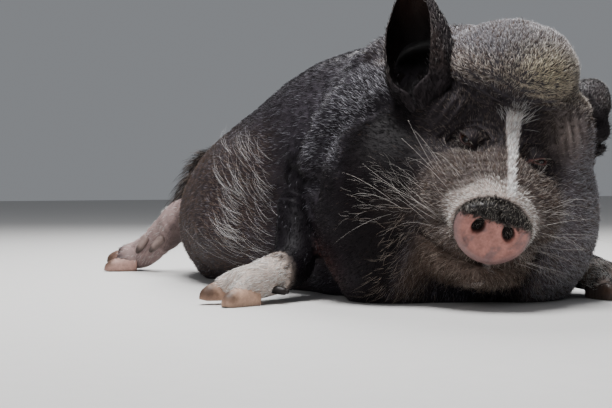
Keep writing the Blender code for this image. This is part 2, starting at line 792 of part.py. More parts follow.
def make_claw(name, base, heading, length, width, height, lift):
    """One toe's claw: a blunt wedge with a flat sole, rounded over the top and at the tip."""
    turn = math.radians(heading)
    ahead = np.array([math.cos(turn), math.sin(turn), 0.0])
    across = np.array([-math.sin(turn), math.cos(turn), 0.0])
    along = np.array([0.0, 0.4, 0.7, 0.88, 0.97])
    wide = width / 2 * np.sqrt(1 - along**5)
    high = height * (1 - 0.42 * along**1.4) * np.sqrt(1 - along**10)
    angle = np.linspace(0, 2 * math.pi, 10, endpoint=False)
    section = np.stack([np.cos(angle), np.maximum(np.sin(angle), -0.35)], 1)
    rings = []
    for t, w, h in zip(along, wide, high):
        rise = lift if t < 0.9 else lift + 0.002
        rings.append(np.asarray(base) * (1, 1, 0) + ahead * t * length
                     + across * (section[:, :1] * w)
                     + np.array([0, 0, 1]) * ((section[:, 1:] + 0.35) / 1.35 * h + rise))
    return mesh_object(name, *closed_tube(rings), "claw_horn")


def make_dewclaw(name, root, ahead):
    """Small blunt horn from root, pointing ahead."""
    start = np.asarray(root, float)
    ahead = np.asarray(ahead, float) / np.linalg.norm(ahead)
    rows = [(*start, DEW_RADIUS, DEW_RADIUS * 0.8),
            (*(start + ahead * DEW_LENGTH * 0.6), DEW_RADIUS * 0.9, DEW_RADIUS * 0.7),
            (*(start + ahead * DEW_LENGTH), DEW_RADIUS * 0.5, DEW_RADIUS * 0.4)]
    horn = Chain(rows, np.cross(ahead, (0, 0, 1)), steps=4)
    return mesh_object(name, *horn.surface(sides=8), "claw_horn")


# Each leg: stations (x, y, z, half width, half height) from inside the body to the end of the foot,
# the heading of its claws, and how far the two claws spread
LEGS = {
    "foreleg_right": {
        "stations": (
            (-0.110, -0.165, 0.225, 0.044, 0.044),
            (-0.168, -0.184, 0.172, 0.038, 0.035),
            (-0.196, -0.210, 0.108, 0.035, 0.034),
            (-0.218, -0.238, 0.056, 0.035, 0.035),
            (-0.272, -0.260, 0.038, 0.035, 0.031),
            (-0.328, -0.274, 0.031, 0.036, 0.027),
        ),
        "heading": 185.0, "toe_spread": 12.0, "finish": "black_hide", "lift": (0.006, 0.0),
    },
    "foreleg_left": {
        "stations": (
            (0.130, -0.165, 0.190, 0.046, 0.046),
            (0.178, -0.200, 0.120, 0.042, 0.040),
            (0.204, -0.280, 0.066, 0.036, 0.034),
            (0.212, -0.360, 0.044, 0.034, 0.033),
            (0.212, -0.415, 0.036, 0.035, 0.030),
            (0.210, -0.455, 0.031, 0.036, 0.027),
        ),
        "heading": -93.0, "toe_spread": 7.0, "finish": "black_hide", "lift": (0.0, 0.0),
    },
    "hindleg_right": {
        "stations": (
            (-0.040, 0.335, 0.118, 0.052, 0.050),
            (-0.085, 0.398, 0.106, 0.042, 0.040),
            (-0.104, 0.448, 0.071, 0.035, 0.034),
            (-0.120, 0.498, 0.039, 0.034, 0.031),
            (-0.142, 0.526, 0.032, 0.036, 0.028),
        ),
        "heading": 152.0, "toe_spread": 17.0, "finish": "pale_hide", "lift": (0.013, 0.0),
    },
    "hindleg_left": {
        "stations": (
            (0.110, 0.330, 0.090, 0.056, 0.056),
            (0.168, 0.292, 0.062, 0.046, 0.044),
            (0.216, 0.215, 0.046, 0.037, 0.036),
            (0.232, 0.145, 0.037, 0.034, 0.031),
            (0.234, 0.100, 0.031, 0.036, 0.027),
        ),
        "heading": -87.0, "toe_spread": 7.0, "finish": "pale_hide", "lift": (0.0, 0.0),
    },
}
CLAW_APART = 0.0185
CLAW_ROOT = 0.012
DEW_BACK = 0.052
DEW_APART = 0.022
DEW_HEIGHT = 0.020
DEW_TURN = 125.0
# The right hind foot shows its back, with the dewclaws hanging on the side that faces right
HIND_DEWS = (((-0.136, 0.470, 0.060), (-0.55, 0.08, -0.83)), ((-0.122, 0.430, 0.060), (-0.55, 0.45, -0.70)))


def make_leg(name, plan):
    side = (1, 0, 0) if name.endswith("left") else (0, 1, 0)
    leg = flesh(name, [Chain(plan["stations"], side, steps=16)], LIMB_VOXEL, plan["finish"], rounds=2)
    thin_to(leg, LIMB_TRIANGLES)
    return level_floor(leg)


def make_claws(name, plan):
    """Two claws side by side at the end of the foot, and two dewclaws behind them."""
    turn = math.radians(plan["heading"])
    ahead = np.array([math.cos(turn), math.sin(turn), 0.0])
    across = np.array([-math.sin(turn), math.cos(turn), 0.0])
    end = np.array(plan["stations"][-1][:3])
    claws = []
    for label, side, lift in (("a", -1, plan["lift"][0]), ("b", 1, plan["lift"][1])):
        start = end - ahead * CLAW_ROOT + across * side * CLAW_APART
        claws.append(make_claw(f"{name}_claw_{label}", start, plan["heading"] + side * plan["toe_spread"],
                               CLAW_LENGTH + CLAW_ROOT, CLAW_WIDTH, CLAW_HEIGHT, lift))
    for i, (label, side) in enumerate((("a", -1), ("b", 1))):
        root = end - ahead * DEW_BACK + across * side * DEW_APART
        root[2] = DEW_HEIGHT
        away = math.radians(plan["heading"] + side * DEW_TURN)
        out = (math.cos(away), math.sin(away), -0.15)
        if name == "hindleg_right":
            root, out = HIND_DEWS[i]
        claws.append(make_dewclaw(f"{name}_dewclaw_{label}", root, out))
    return claws


def make_tail():
    """The tail hangs from the rump to the right, with a tuft at its end."""
    stations = (
        (0.010, 0.375, 0.232, 0.020, 0.018),
        (-0.022, 0.424, 0.224, 0.015, 0.014),
        (-0.050, 0.424, 0.200, 0.012, 0.012),
        (-0.066, 0.412, 0.160, 0.014, 0.012),
        (-0.074, 0.402, 0.118, 0.010, 0.009),
        (-0.077, 0.398, 0.090, 0.004, 0.004),
    )
    tail = flesh("tail", [Chain(stations, (1, 0, 0), steps=16)], 0.003, "black_hide", rounds=1)
    thin_to(tail, 320)
    draw = np.random.default_rng(LOCK_SEED)
    locks = []
    for i in range(TUFT_LOCKS):
        share = i / (TUFT_LOCKS - 1)
        at = np.array([-0.061, 0.416, 0.172]) + np.array([-0.014, -0.016, -0.066]) * share
        turn = i * 2.4
        out = np.array([math.cos(turn), math.sin(turn), 0.0])
        length = TUFT_LENGTH * draw.uniform(0.75, 1.1) * (1 - 0.35 * share)
        fall = np.array([-0.10, -0.12, -1.0])
        path = [at + out * 0.003, at + out * 0.010 + fall * length * 0.3,
                at + out * 0.013 + fall * length * 0.65, at + out * 0.011 + fall * length]
        locks.append(lock(path, out, 0.0048, 0.0016))
    return join_all(tail, locks)


def main():
    clear_scene()
    head, neck, torso = body_parts()
    eyes = make_eyes()
    snout = make_snout()
    boolean(head, lid_slits() + [mouth_groove()], "DIFFERENCE")
    join_all(torso, flank_locks(trunk_forms() + neck_forms()))
    cut_by(head, eyes)
    cut_by(head, [snout])
    body = [head, neck, torso]
    pieces = body + eyes + [snout]
    for name in EARS:
        pieces.append(cut_by(make_ear(name), [head, neck]))
    legs = []
    for name, plan in LEGS.items():
        leg = cut_by(make_leg(name, plan), body)
        legs.append(leg)
        pieces.append(leg)
        pieces += [level_floor(cut_by(claw, [leg] + body)) for claw in make_claws(name, plan)]
    pieces.append(cut_by(make_tail(), [torso] + legs))
    for piece in pieces:
        shade(piece)


if __name__ == "__main__":
    main()
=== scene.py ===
"""Looks of the lying pot-bellied pig: one hide drawn on the blend of its forms, and its coat.

The trunk lies along Y with the rump at +Y, and the pig's right side is at -X. The head has a frame
of its own, forward, left and up, and so has each ear. Sizes are in metres and angles in degrees.
"""

import functools
import math

import bmesh
import bpy
import numpy as np
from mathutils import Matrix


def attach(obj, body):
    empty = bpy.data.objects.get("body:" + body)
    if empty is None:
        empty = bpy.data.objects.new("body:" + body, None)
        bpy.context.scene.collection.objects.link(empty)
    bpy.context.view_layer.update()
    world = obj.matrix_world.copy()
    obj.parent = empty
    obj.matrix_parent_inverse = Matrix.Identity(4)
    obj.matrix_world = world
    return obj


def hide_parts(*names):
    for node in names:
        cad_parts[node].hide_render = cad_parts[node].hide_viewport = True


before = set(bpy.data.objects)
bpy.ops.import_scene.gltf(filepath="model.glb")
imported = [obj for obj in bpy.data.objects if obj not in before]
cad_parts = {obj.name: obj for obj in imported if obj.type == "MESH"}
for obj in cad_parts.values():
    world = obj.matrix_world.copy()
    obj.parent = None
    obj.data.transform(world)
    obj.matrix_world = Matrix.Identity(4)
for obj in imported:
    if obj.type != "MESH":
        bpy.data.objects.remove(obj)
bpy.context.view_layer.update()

bl_info = {
    "name": "Lying pig",
    "version": (1, 0, 0),
    "blender": (4, 5, 0),
    "location": "View3D > Sidebar > Lying pig",
    "description": "Hide, coat, face, feet and stage of a life-size lying pig",
    "category": "Object",
}

# The forms, as in the part's source
TRUNK_STATIONS = (
    (-0.20, 0.000, 0.172, 0.402),
    (-0.10, 0.000, 0.192, 0.392),
    (0.00, 0.002, 0.201, 0.351),
    (0.12, 0.008, 0.196, 0.312),
    (0.22, 0.018, 0.178, 0.286),
    (0.30, 0.026, 0.152, 0.256),
    (0.345, 0.030, 0.126, 0.232),
)
BELLY_SINK = 0.020
BELLY_STATIONS = ((-0.16, 0.175), (-0.04, 0.205), (0.08, 0.212), (0.18, 0.185), (0.27, 0.130))
BELLY_HEIGHT = 0.088
BELLY_HALF_DEPTH = 0.105
HEAD_ORIGIN = np.array([0.015, -0.4075, 0.195])
HEAD_YAW, HEAD_PITCH, HEAD_ROLL = 30.0, 5.0, 16.0
NECK_ROLL_LEAN = 14.0
COLLAR_YAW = 20.0
SNOUT_PLACE = np.array([0.196, 0.0, -0.070])
SNOUT_HALF_WIDTH = 0.053
SNOUT_HALF_HEIGHT = 0.044
SNOUT_THICK = 0.016
SNOUT_TILT = 10.0
NOSTRIL_OFFSET = 0.021
NOSTRIL_RADIUS = 0.0090
EYE_PLACE = (0.082, 0.050, 0.034)
EYE_RADIUS = 0.0125
EYE_LOOK = (0.80, 0.58, 0.12)
LID_THICK = 0.0030
LID_SLANT = {-1: 28.0, 1: 10.0}
SLIT_HALF_LENGTH = 0.0130
SLIT_HALF_HEIGHT = {-1: 0.0046, 1: 0.0034}
SLIT_PUSH = 0.0075
UPPER_LIP = (
    (0.170, 0.022, -0.096, 0.016, 0.020),
    (0.142, 0.046, -0.094, 0.018, 0.021),
    (0.100, 0.064, -0.086, 0.020, 0.021),
    (0.062, 0.076, -0.070, 0.018, 0.018),
)
LOWER_LIP = (
    (0.158, 0.000, -0.134, 0.014, 0.020),
    (0.148, 0.030, -0.130, 0.014, 0.016),
    (0.106, 0.058, -0.120, 0.015, 0.017),
    (0.066, 0.074, -0.106, 0.015, 0.016),
)
MOUTH_LINE = ((0.172, 0.0, -0.118), (0.150, 0.044, -0.114), (0.106, 0.080, -0.104), (0.066, 0.100, -0.088))
EARS = {
    "ear_right": ((0.032, -0.120, 0.078), (-0.20, -0.42, 0.90), (0.80, -0.60, 0.0)),
    "ear_left": ((0.004, 0.108, 0.084), (-0.84, 0.30, 0.46), (0.35, 0.92, 0.0)),
}
EAR_BASES = {-1: (0.024, -0.114, 0.064), 1: (0.006, 0.102, 0.068)}
EAR_LENGTH = 0.184
EAR_RADIUS = 0.056
NECK_FOLD = (
    (-0.118, -0.322, 0.378), (-0.146, -0.279, 0.353), (-0.172, -0.245, 0.311),
    (-0.176, -0.212, 0.273), (-0.180, -0.185, 0.227),
)
JOWL_FOLD = (
    (0.036, -0.147, 0.075), (0.030, -0.186, 0.047), (0.007, -0.228, 0.012),
    (-0.003, -0.250, -0.023), (-0.005, -0.254, -0.067), (-0.001, -0.248, -0.100),
)
BROW_FOLD = (
    (0.058, -0.118, 0.100), (0.075, -0.074, 0.111), (0.094, -0.022, 0.122), (0.090, 0.010, 0.119),
    (0.076, 0.037, 0.110), (0.068, 0.066, 0.080),
)
FOLD_RADIUS = 0.0045
FOLD_BLEND = 0.026
LEFT_FOLDS = 0.5
HIND_CLEFT = (
    (-0.130, 0.424, 0.076), (-0.131, 0.440, 0.062), (-0.131, 0.455, 0.047), (-0.133, 0.468, 0.033),
    (-0.136, 0.478, 0.020),
)
HIND_CLEFT_STRENGTH = 1.25
CAP_PLACE, CAP_RADIUS = (-0.168, -0.186, 0.176), 0.046
CAP_FOLDS = ((0.0, 1.0), (0.013, 0.7), (0.025, 0.55))
CUP_DEPTH, CUP_RADIUS = 0.040, 0.0435
COAT_DEPTH, HEAD_THINNER, FACE_THINNER, LEG_THINNER = 0.0060, 0.0022, 0.0022, 0.0035
LEGS = {
    "foreleg_right": {
        "stations": (
            (-0.110, -0.165, 0.225, 0.044, 0.044),
            (-0.168, -0.184, 0.172, 0.038, 0.035),
            (-0.196, -0.210, 0.108, 0.035, 0.034),
            (-0.218, -0.238, 0.056, 0.035, 0.035),
            (-0.272, -0.260, 0.038, 0.035, 0.031),
            (-0.328, -0.274, 0.031, 0.036, 0.027),
        ),
        "heading": 185.0, "toe_spread": 12.0, "lift": (0.006, 0.0),
    },
    "foreleg_left": {
        "stations": (
            (0.130, -0.165, 0.190, 0.046, 0.046),
            (0.178, -0.200, 0.120, 0.042, 0.040),
            (0.204, -0.280, 0.066, 0.036, 0.034),
            (0.212, -0.360, 0.044, 0.034, 0.033),
            (0.212, -0.415, 0.036, 0.035, 0.030),
            (0.210, -0.455, 0.031, 0.036, 0.027),
        ),
        "heading": -93.0, "toe_spread": 7.0, "lift": (0.0, 0.0),
    },
    "hindleg_right": {
        "stations": (
            (-0.040, 0.335, 0.118, 0.052, 0.050),
            (-0.085, 0.398, 0.106, 0.042, 0.040),
            (-0.104, 0.448, 0.071, 0.035, 0.034),
            (-0.120, 0.498, 0.039, 0.034, 0.031),
            (-0.142, 0.526, 0.032, 0.036, 0.028),
        ),
        "heading": 152.0, "toe_spread": 17.0, "lift": (0.013, 0.0),
    },
    "hindleg_left": {
        "stations": (
            (0.110, 0.330, 0.090, 0.056, 0.056),
            (0.168, 0.292, 0.062, 0.046, 0.044),
            (0.216, 0.215, 0.046, 0.037, 0.036),
            (0.232, 0.145, 0.037, 0.034, 0.031),
            (0.234, 0.100, 0.031, 0.036, 0.027),
        ),
        "heading": -87.0, "toe_spread": 7.0, "lift": (0.0, 0.0),
    },
}
CLAW_LENGTH, CLAW_WIDTH, CLAW_HEIGHT = 0.050, 0.029, 0.034
CLAW_APART, CLAW_ROOT = 0.0185, 0.012
DEW_LENGTH, DEW_RADIUS = 0.026, 0.0085
DEW_BACK, DEW_APART, DEW_HEIGHT, DEW_TURN = 0.052, 0.022, 0.020, 125.0
HIND_DEWS = (((-0.136, 0.470, 0.060), (-0.55, 0.08, -0.83)), ((-0.122, 0.430, 0.060), (-0.55, 0.45, -0.70)))
TAIL_STATIONS = (
    (0.010, 0.375, 0.232, 0.020, 0.018),
    (-0.022, 0.424, 0.224, 0.015, 0.014),
    (-0.050, 0.424, 0.200, 0.012, 0.012),
    (-0.066, 0.412, 0.160, 0.014, 0.012),
    (-0.074, 0.402, 0.118, 0.010, 0.009),
    (-0.077, 0.398, 0.090, 0.004, 0.004),
)

WORLD_AXES = np.eye(3)
CAMERA_PLACE = (-1.323, -2.115, 0.182)
CAMERA_TURN = (88.98, 0.0, -31.0)
CAMERA_LENS = 85.65
FLOOR_HALF = 9.0
# Name, place, share of the key light's power and width of each light, and what they all look at
LIGHTS = (
    ("key", (-0.45, -0.30, 2.35), 1.0, 1.3),
    ("rim", (0.9, 1.3, 1.9), 0.70, 1.2),
    ("fill", (-2.3, -1.8, 1.2), 0.10, 1.4),
)
LIGHT_AIM = (-0.05, -0.25, 0.15)


# Helpers on numbers

def soft(values, low, high):
    """Smooth step from 0 at low to 1 at high, and the other way round where high is the lower."""
    t = np.clip((values - low) / (high - low), 0.0, 1.0)
    return t * t * (3 - 2 * t)


def unit(rows):
    rows = np.asarray(rows, float)
    return rows / np.maximum(np.linalg.norm(rows, axis=-1, keepdims=True), 1e-12)


def waves(points, size, seed, octaves=3):
    """Soft noise from -1 to 1: sums of sines in fixed random directions, each octave half as long."""
    draw = np.random.default_rng(seed)
    total = np.zeros(len(points))
    for octave in range(octaves):
        turns = unit(draw.normal(size=(6, 3))) * 2 * math.pi / size * 2**octave
        shifts = draw.uniform(0, 2 * math.pi, 6)
        total += np.sin(points @ turns.T + shifts).sum(1) / 6 / 1.6**octave
    return total


def mixed(a, b, share):
    """From a to b by each row's share. b may be one row for all."""
    return a + (np.asarray(b) - a) * share[..., None]


def filled(row, count):
    """count copies of one row of numbers."""
    return np.tile(np.array(row), (count, 1))


def level_axes(heading):
    """Ahead and left on the ground, for a heading in degrees."""
    turn = math.radians(heading)
    return np.array([math.cos(turn), math.sin(turn), 0.0]), np.array([-math.sin(turn), math.cos(turn), 0.0])


def head_axes(roll=True):
    """Forward, left and up of the head, as rows: turned right, pitched down, then rolled."""
    yaw, pitch, roll = (math.radians(a) for a in (HEAD_YAW, HEAD_PITCH, HEAD_ROLL if roll else 0.0))
    forward = np.array([-math.sin(yaw), -math.cos(yaw), 0.0])
    left = np.array([math.cos(yaw), -math.sin(yaw), 0.0])
    up = np.array([0.0, 0.0, 1.0])
    nose = forward * math.cos(pitch) - up * math.sin(pitch)
    crown = forward * math.sin(pitch) + up * math.cos(pitch)
    return np.array([
        nose,
        left * math.cos(roll) - crown * math.sin(roll),
        left * math.sin(roll) + crown * math.cos(roll),
    ])


HEAD_AXES = head_axes()


def on_head(place):
    return HEAD_ORIGIN + np.asarray(place, float) @ HEAD_AXES


def in_head(points):
    return (points - HEAD_ORIGIN) @ HEAD_AXES.T


def sided(place, side):
    return (place[0], side * place[1], place[2])


def smooth_rows(rows, count):
    """Catmull-Rom curve through rows of numbers, read at count even steps."""
    rows = np.asarray(rows, float)
    padded = np.vstack([2 * rows[0] - rows[1], rows, 2 * rows[-1] - rows[-2]])
    at = np.linspace(0, len(rows) - 1, count)
    i = np.minimum(at.astype(int), len(rows) - 2)
    t = (at - i)[:, None]
    a, b, c, d = (padded[i + k] for k in range(4))
    return 0.5 * (2 * b + (c - a) * t + (2 * a - 5 * b + 4 * c - d) * t**2
                  + (3 * b - a - 3 * c + d) * t**3)


# Meshes from arrays

def tube_faces(count, sides):
    """Quads between count rings of sides points, as one array."""
    i, j = np.meshgrid(np.arange(count - 1), np.arange(sides), indexing="ij")
    k = (j + 1) % sides
    quads = np.stack([i * sides + j, i * sides + k, (i + 1) * sides + k, (i + 1) * sides + j], -1)
    return quads.reshape(-1, 4)


def closed_tube(rings):
    """Points, quads and end triangles of a tube through rings (count, sides, 3), fanned shut at its ends."""
    rings = np.asarray(rings, float)
    count, sides, _ = rings.shape
    points = np.concatenate([rings.reshape(-1, 3), rings[0].mean(0)[None], rings[-1].mean(0)[None]])
    j = np.arange(sides)
    k = (j + 1) % sides
    first = np.stack([np.full(sides, count * sides), k, j], -1)
    last = np.stack([np.full(sides, count * sides + 1), (count - 1) * sides + j, (count - 1) * sides + k], -1)
    return points, tube_faces(count, sides), np.concatenate([first, last])


def new_mesh(name, points, quads, triangles=None):
    """A mesh from arrays of points, quads and triangles."""
    mesh = bpy.data.meshes.new(name)
    triangles = np.zeros((0, 3), int) if triangles is None else triangles
    corners = [np.asarray(rows).reshape(-1) for rows in (quads, triangles)]
    loops = np.concatenate(corners).astype(np.int32)
    sizes = np.concatenate([np.full(len(quads), 4), np.full(len(triangles), 3)]).astype(np.int32)
    mesh.vertices.add(len(points))
    mesh.vertices.foreach_set("co", np.asarray(points, np.float32).ravel())
    mesh.loops.add(len(loops))
    mesh.loops.foreach_set("vertex_index", loops)
    mesh.polygons.add(len(sizes))
    mesh.polygons.foreach_set("loop_start", np.concatenate([[0], np.cumsum(sizes)[:-1]]).astype(np.int32))
    mesh.update(calc_edges=True)
    mesh.shade_smooth()
    return mesh


def placed(name, mesh, finish, nodes=()):
    """The mesh as a finished piece: its material and the nodes it replaces."""
    obj = bpy.data.objects.new(name, mesh)
    bpy.context.scene.collection.objects.link(obj)
    mesh.materials.clear()
    mesh.materials.append(finish)
    if nodes:
        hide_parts(*nodes)
    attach(obj, "root")
    return obj


def outward(mesh):
    """Turns the faces of a closed mesh outwards."""
    shape = bmesh.new()
    shape.from_mesh(mesh)
    bmesh.ops.remove_doubles(shape, verts=shape.verts, dist=0.00001)
    bmesh.ops.recalc_face_normals(shape, faces=shape.faces)
    shape.to_mesh(mesh)
    shape.free()
    return mesh


def read_points(mesh):
    points = np.empty(len(mesh.vertices) * 3, np.float32)
    mesh.vertices.foreach_get("co", points)
    return points.reshape(-1, 3).astype(float)


def read_normals(mesh):
    normals = np.empty(len(mesh.vertices) * 3, np.float32)
    mesh.vertex_normals.foreach_get("vector", normals)
    return normals.reshape(-1, 3).astype(float)


def paint(mesh, name, colours):
    """Keeps one colour for each point of the mesh."""
    layer = mesh.attributes.get(name) or mesh.attributes.new(name, "FLOAT_COLOR", "POINT")
    rows = np.ones((len(colours), 4), np.float32)
    rows[:, :3] = colours
    layer.data.foreach_set("color", rows.ravel())


# The forms and their blend

class Ball:
    """Ellipsoid form. blend is how far it flows into earlier forms; carve takes it away instead."""

    def __init__(self, centre, radii, axes=WORLD_AXES, blend=0.02, carve=False):
        self.centre = np.asarray(centre, float)
        self.radii = np.asarray(radii, float)
        self.axes = np.asarray(axes, float)
        self.blend = blend
        self.carve = carve
        self.middle, self.reach = self.centre, self.radii.max()

    def distance(self, points):
        local = (points - self.centre) @ self.axes.T
        first = np.linalg.norm(local / self.radii, axis=1)
        second = np.linalg.norm(local / self.radii**2, axis=1)
        return first * (first - 1.0) / np.maximum(second, 1e-9)

    def rings(self, count=14, sides=20):
        """Circles of latitude: cos(h) cos(t), cos(h) sin(t), sin(h), scaled by the radii."""
        height = np.radians(np.linspace(-80, 80, count))
        turn = np.linspace(0, 2 * math.pi, sides, endpoint=False)
        local = np.stack([
            np.cos(height)[:, None] * np.cos(turn)[None],
            np.cos(height)[:, None] * np.sin(turn)[None],
            np.sin(height)[:, None] * np.ones(sides)[None],
        ], -1) * self.radii
        return local @ self.axes + self.centre

    def surface(self, count=14, sides=20):
        points, quads, ends = closed_tube(self.rings(count, sides))
        points[-2] = self.centre - self.axes[2] * self.radii[2]
        points[-1] = self.centre + self.axes[2] * self.radii[2]
        return points, quads, ends


class Chain:
    """Tube form with oval sections, through stations (x, y, z, half width, half height)."""

    def __init__(self, stations, side, steps=12, blend=0.02, carve=False, axes=None):
        rows = smooth_rows(stations, steps)
        if axes is not None:
            rows[:, :3] = HEAD_ORIGIN + rows[:, :3] @ axes
        self.centre, self.wide, self.high = rows[:, :3], rows[:, 3], rows[:, 4]
        self.tangent = unit(np.gradient(self.centre, axis=0))
        side = np.asarray(side, float)
        self.across = unit(side - (self.tangent @ side)[:, None] * self.tangent)
        self.upward = np.cross(self.tangent, self.across)
        self.blend = blend
        self.carve = carve
        self.middle = self.centre.mean(0)
        self.reach = np.linalg.norm(self.centre - self.middle, axis=1).max()
        self.reach += max(self.wide.max(), self.high.max())

    def distance(self, points):
        nearest = np.full(len(points), 1e9)
        for i in range(len(self.centre) - 1):
            start, run = self.centre[i], self.centre[i + 1] - self.centre[i]
            length = np.linalg.norm(run)
            along = (points - start) @ run / length**2
            t = np.clip(along, 0.0, 1.0)
            wide = self.wide[i] + (self.wide[i + 1] - self.wide[i]) * t
            high = self.high[i] + (self.high[i + 1] - self.high[i]) * t
            off = points - start - t[:, None] * run
            across = off @ (self.across[i] + self.across[i + 1]) / 2
            upward = off @ (self.upward[i] + self.upward[i + 1]) / 2
            beyond = (along - t) * length
            end = np.minimum(wide, high)
            first = np.sqrt((across / wide)**2 + (upward / high)**2 + (beyond / end)**2)
            second = np.sqrt((across / wide**2)**2 + (upward / high**2)**2 + (beyond / end**2)**2)
            nearest = np.minimum(nearest, first * (first - 1.0) / np.maximum(second, 1e-9))
        return nearest

    def rings(self, sides=18):
        turn = np.linspace(0, 2 * math.pi, sides, endpoint=False)
        spokes = (np.cos(turn)[None, :, None] * (self.across * self.wide[:, None])[:, None]
                  + np.sin(turn)[None, :, None] * (self.upward * self.high[:, None])[:, None])
        caps = np.radians([15, 40, 65])
        first = min(self.wide[0], self.high[0])
        last = min(self.wide[-1], self.high[-1])
        head = [self.centre[0] - self.tangent[0] * first * math.cos(a) + spokes[0] * math.sin(a)
                for a in caps]
        tail = [self.centre[-1] + self.tangent[-1] * last * math.cos(a) + spokes[-1] * math.sin(a)
                for a in caps[::-1]]
        return np.concatenate([head, self.centre[:, None] + spokes, tail])

    def surface(self, sides=18):
        return closed_tube(self.rings(sides))


def blended(forms, points):
    """Signed distance from the blend of the forms, taken in order. Far forms are passed over."""
    total = forms[0].distance(points)
    for form in forms[1:]:
        off = np.linalg.norm(points - form.middle, axis=1) - form.reach
        near = off < form.blend + 0.02 if form.carve else off < np.maximum(total, 0) + form.blend + 0.02
        if not near.any():
            continue
        here = total[near]
        sign = -1.0 if form.carve else 1.0
        other = sign * form.distance(points[near])
        close = np.maximum(form.blend - np.abs(here - other), 0.0) / form.blend
        total[near] = sign * np.minimum(sign * here, sign * other) - sign * close**2 * form.blend / 4
    return total


def drawn(field, points, reach):
    """The points moved along the field's slope on to its zero, and the slope."""
    step = 0.0005
    here = field(points)
    slope = np.stack([(field(points + step * axis) - here) / step for axis in WORLD_AXES], 1)
    steep = np.maximum((slope**2).sum(1), 0.2)
    move = np.clip(here / steep, -2 * reach, 2 * reach)
    return points - slope * move[:, None], slope


def head_ball(place, radii, **blend):
    return Ball(on_head(place), radii, HEAD_AXES, **blend)


def head_chain(stations, side=HEAD_AXES[1], **blend):
    return Chain(stations, side, axes=HEAD_AXES, **blend)


def trunk_forms():
    barrel = [(x, y, (top - BELLY_SINK) / 2, wide, (top + BELLY_SINK) / 2)
              for y, x, wide, top in TRUNK_STATIONS]
    spread = [(0.0, y, BELLY_HEIGHT, wide, BELLY_HALF_DEPTH) for y, wide in BELLY_STATIONS]
    forms = [
        Chain(barrel, (1, 0, 0), steps=20),
        Chain(spread, (1, 0, 0), steps=14, blend=0.04),
    ]
    for x, wide in ((-0.080, 0.085), (0.108, 0.102)):
        forms.append(Ball((x, 0.225, 0.100), (wide, 0.120, 0.110), blend=0.02))
    return forms


def neck_forms():
    lean = math.radians(NECK_ROLL_LEAN)
    turn = math.radians(COLLAR_YAW)
    roll_axes = np.array([
        [1, 0, 0],
        [0, math.cos(lean), math.sin(lean)],
        [0, -math.sin(lean), math.cos(lean)],
    ])
    collar_axes = np.array([
        [math.cos(turn), -math.sin(turn), 0],
        [math.sin(turn), math.cos(turn), 0],
        [0, 0, 1],
    ])
    return [
        Ball((0.0, -0.240, 0.195), (0.206, 0.074, 0.232), roll_axes, blend=0.050),
        Ball((0.010, -0.355, 0.170), (0.200, 0.095, 0.245), collar_axes, blend=0.030),
        Ball((-0.110, -0.325, 0.130), (0.106, 0.115, 0.150), blend=0.03),
        Ball((0.105, -0.390, 0.125), (0.100, 0.120, 0.140), blend=0.03),
    ]


def head_forms():
    level = head_axes(roll=False)
    forms = [
        head_ball((-0.030, 0, 0.040), (0.110, 0.115, 0.125), blend=0.04),
        Ball(on_head((0.014, -0.012, 0.148)), (0.086, 0.102, 0.074), level, blend=0.035),
        head_chain([
            (0.000, 0, 0.000, 0.100, 0.085),
            (0.070, 0, -0.012, 0.086, 0.070),
            (0.130, 0, -0.042, 0.068, 0.056),
            (0.170, 0, -0.062, 0.060, 0.047),
        ], steps=8, blend=0.03),
        head_ball((0.060, 0, -0.118), (0.105, 0.080, 0.052), blend=0.025),
    ]
    for side in (-1, 1):
        forms += [
            head_ball(sided((0.000, 0.090, -0.060), side), (0.092, 0.068, 0.118), blend=0.04),
            head_ball(sided((0.088, 0.062, -0.040), side), (0.066, 0.044, 0.054), blend=0.03),
            head_ball(sided((0.018, 0.092, 0.092), side), (0.044, 0.038, 0.050), blend=0.025),
            head_ball(sided((0.036, 0.086, 0.068), side), (0.046, 0.034, 0.046), blend=0.02),
            head_ball(EAR_BASES[side], (0.046, 0.048, 0.048), blend=0.022),
            head_ball(sided((0.106, 0.056, 0.036), side), (0.030, 0.034, 0.016), blend=0.014, carve=True),
            head_ball(sided(EYE_PLACE, side), (EYE_RADIUS + LID_THICK,) * 3, blend=0.008),
            head_chain([(r[0], side * r[1], *r[2:]) for r in LOWER_LIP], HEAD_AXES[2], steps=8, blend=0.010),
            head_chain([(r[0], side * r[1], *r[2:]) for r in UPPER_LIP], HEAD_AXES[2], steps=8, blend=0.006),
        ]
    return forms


def fold(forms, places, side, strength=1.0):
    """A crease along the surface, through the places, deepest between its ends."""
    places = np.asarray(places, float)
    for _ in range(4):
        places, _ = drawn(functools.partial(blended, forms), places, 0.02)
    depth = FOLD_RADIUS * strength * (0.12 + 0.88 * np.sin(np.linspace(0.1, 3.0, len(places))))
    return Chain([(*place, r, r) for place, r in zip(places, depth)], side, blend=FOLD_BLEND * strength,
                 carve=True)


@functools.lru_cache(None)
def leg_forms():
    """Each leg's tube, and its two toes, which part the end of the foot."""
    forms = []
    for name, plan in LEGS.items():
        side = (1, 0, 0) if name.endswith("left") else (0, 1, 0)
        rows = [(*row[:3], row[3] - 0.0015, row[4] - 0.0015) for row in plan["stations"]]
        ahead, across = level_axes(plan["heading"])
        rows[-1] = (*(np.array(rows[-1][:3]) - ahead * 0.012), rows[-1][3] * 0.96, rows[-1][4])
        forms.append(Chain(rows, side, steps=16, blend=0.008))
        end = np.array(plan["stations"][-1][:3])
        for turned, lift in zip((-1, 1), plan["lift"]):
            out, beside = level_axes(plan["heading"] + turned * plan["toe_spread"])
            start = end - ahead * 0.020 + across * turned * CLAW_APART * 0.7
            toe = end + across * turned * CLAW_APART + out * 0.014
            forms.append(Chain([
                (*start, 0.019, 0.022),
                (*toe[:2], 0.020 + lift, 0.0170, 0.0195),
            ], beside, steps=4, blend=0.008))
    return forms


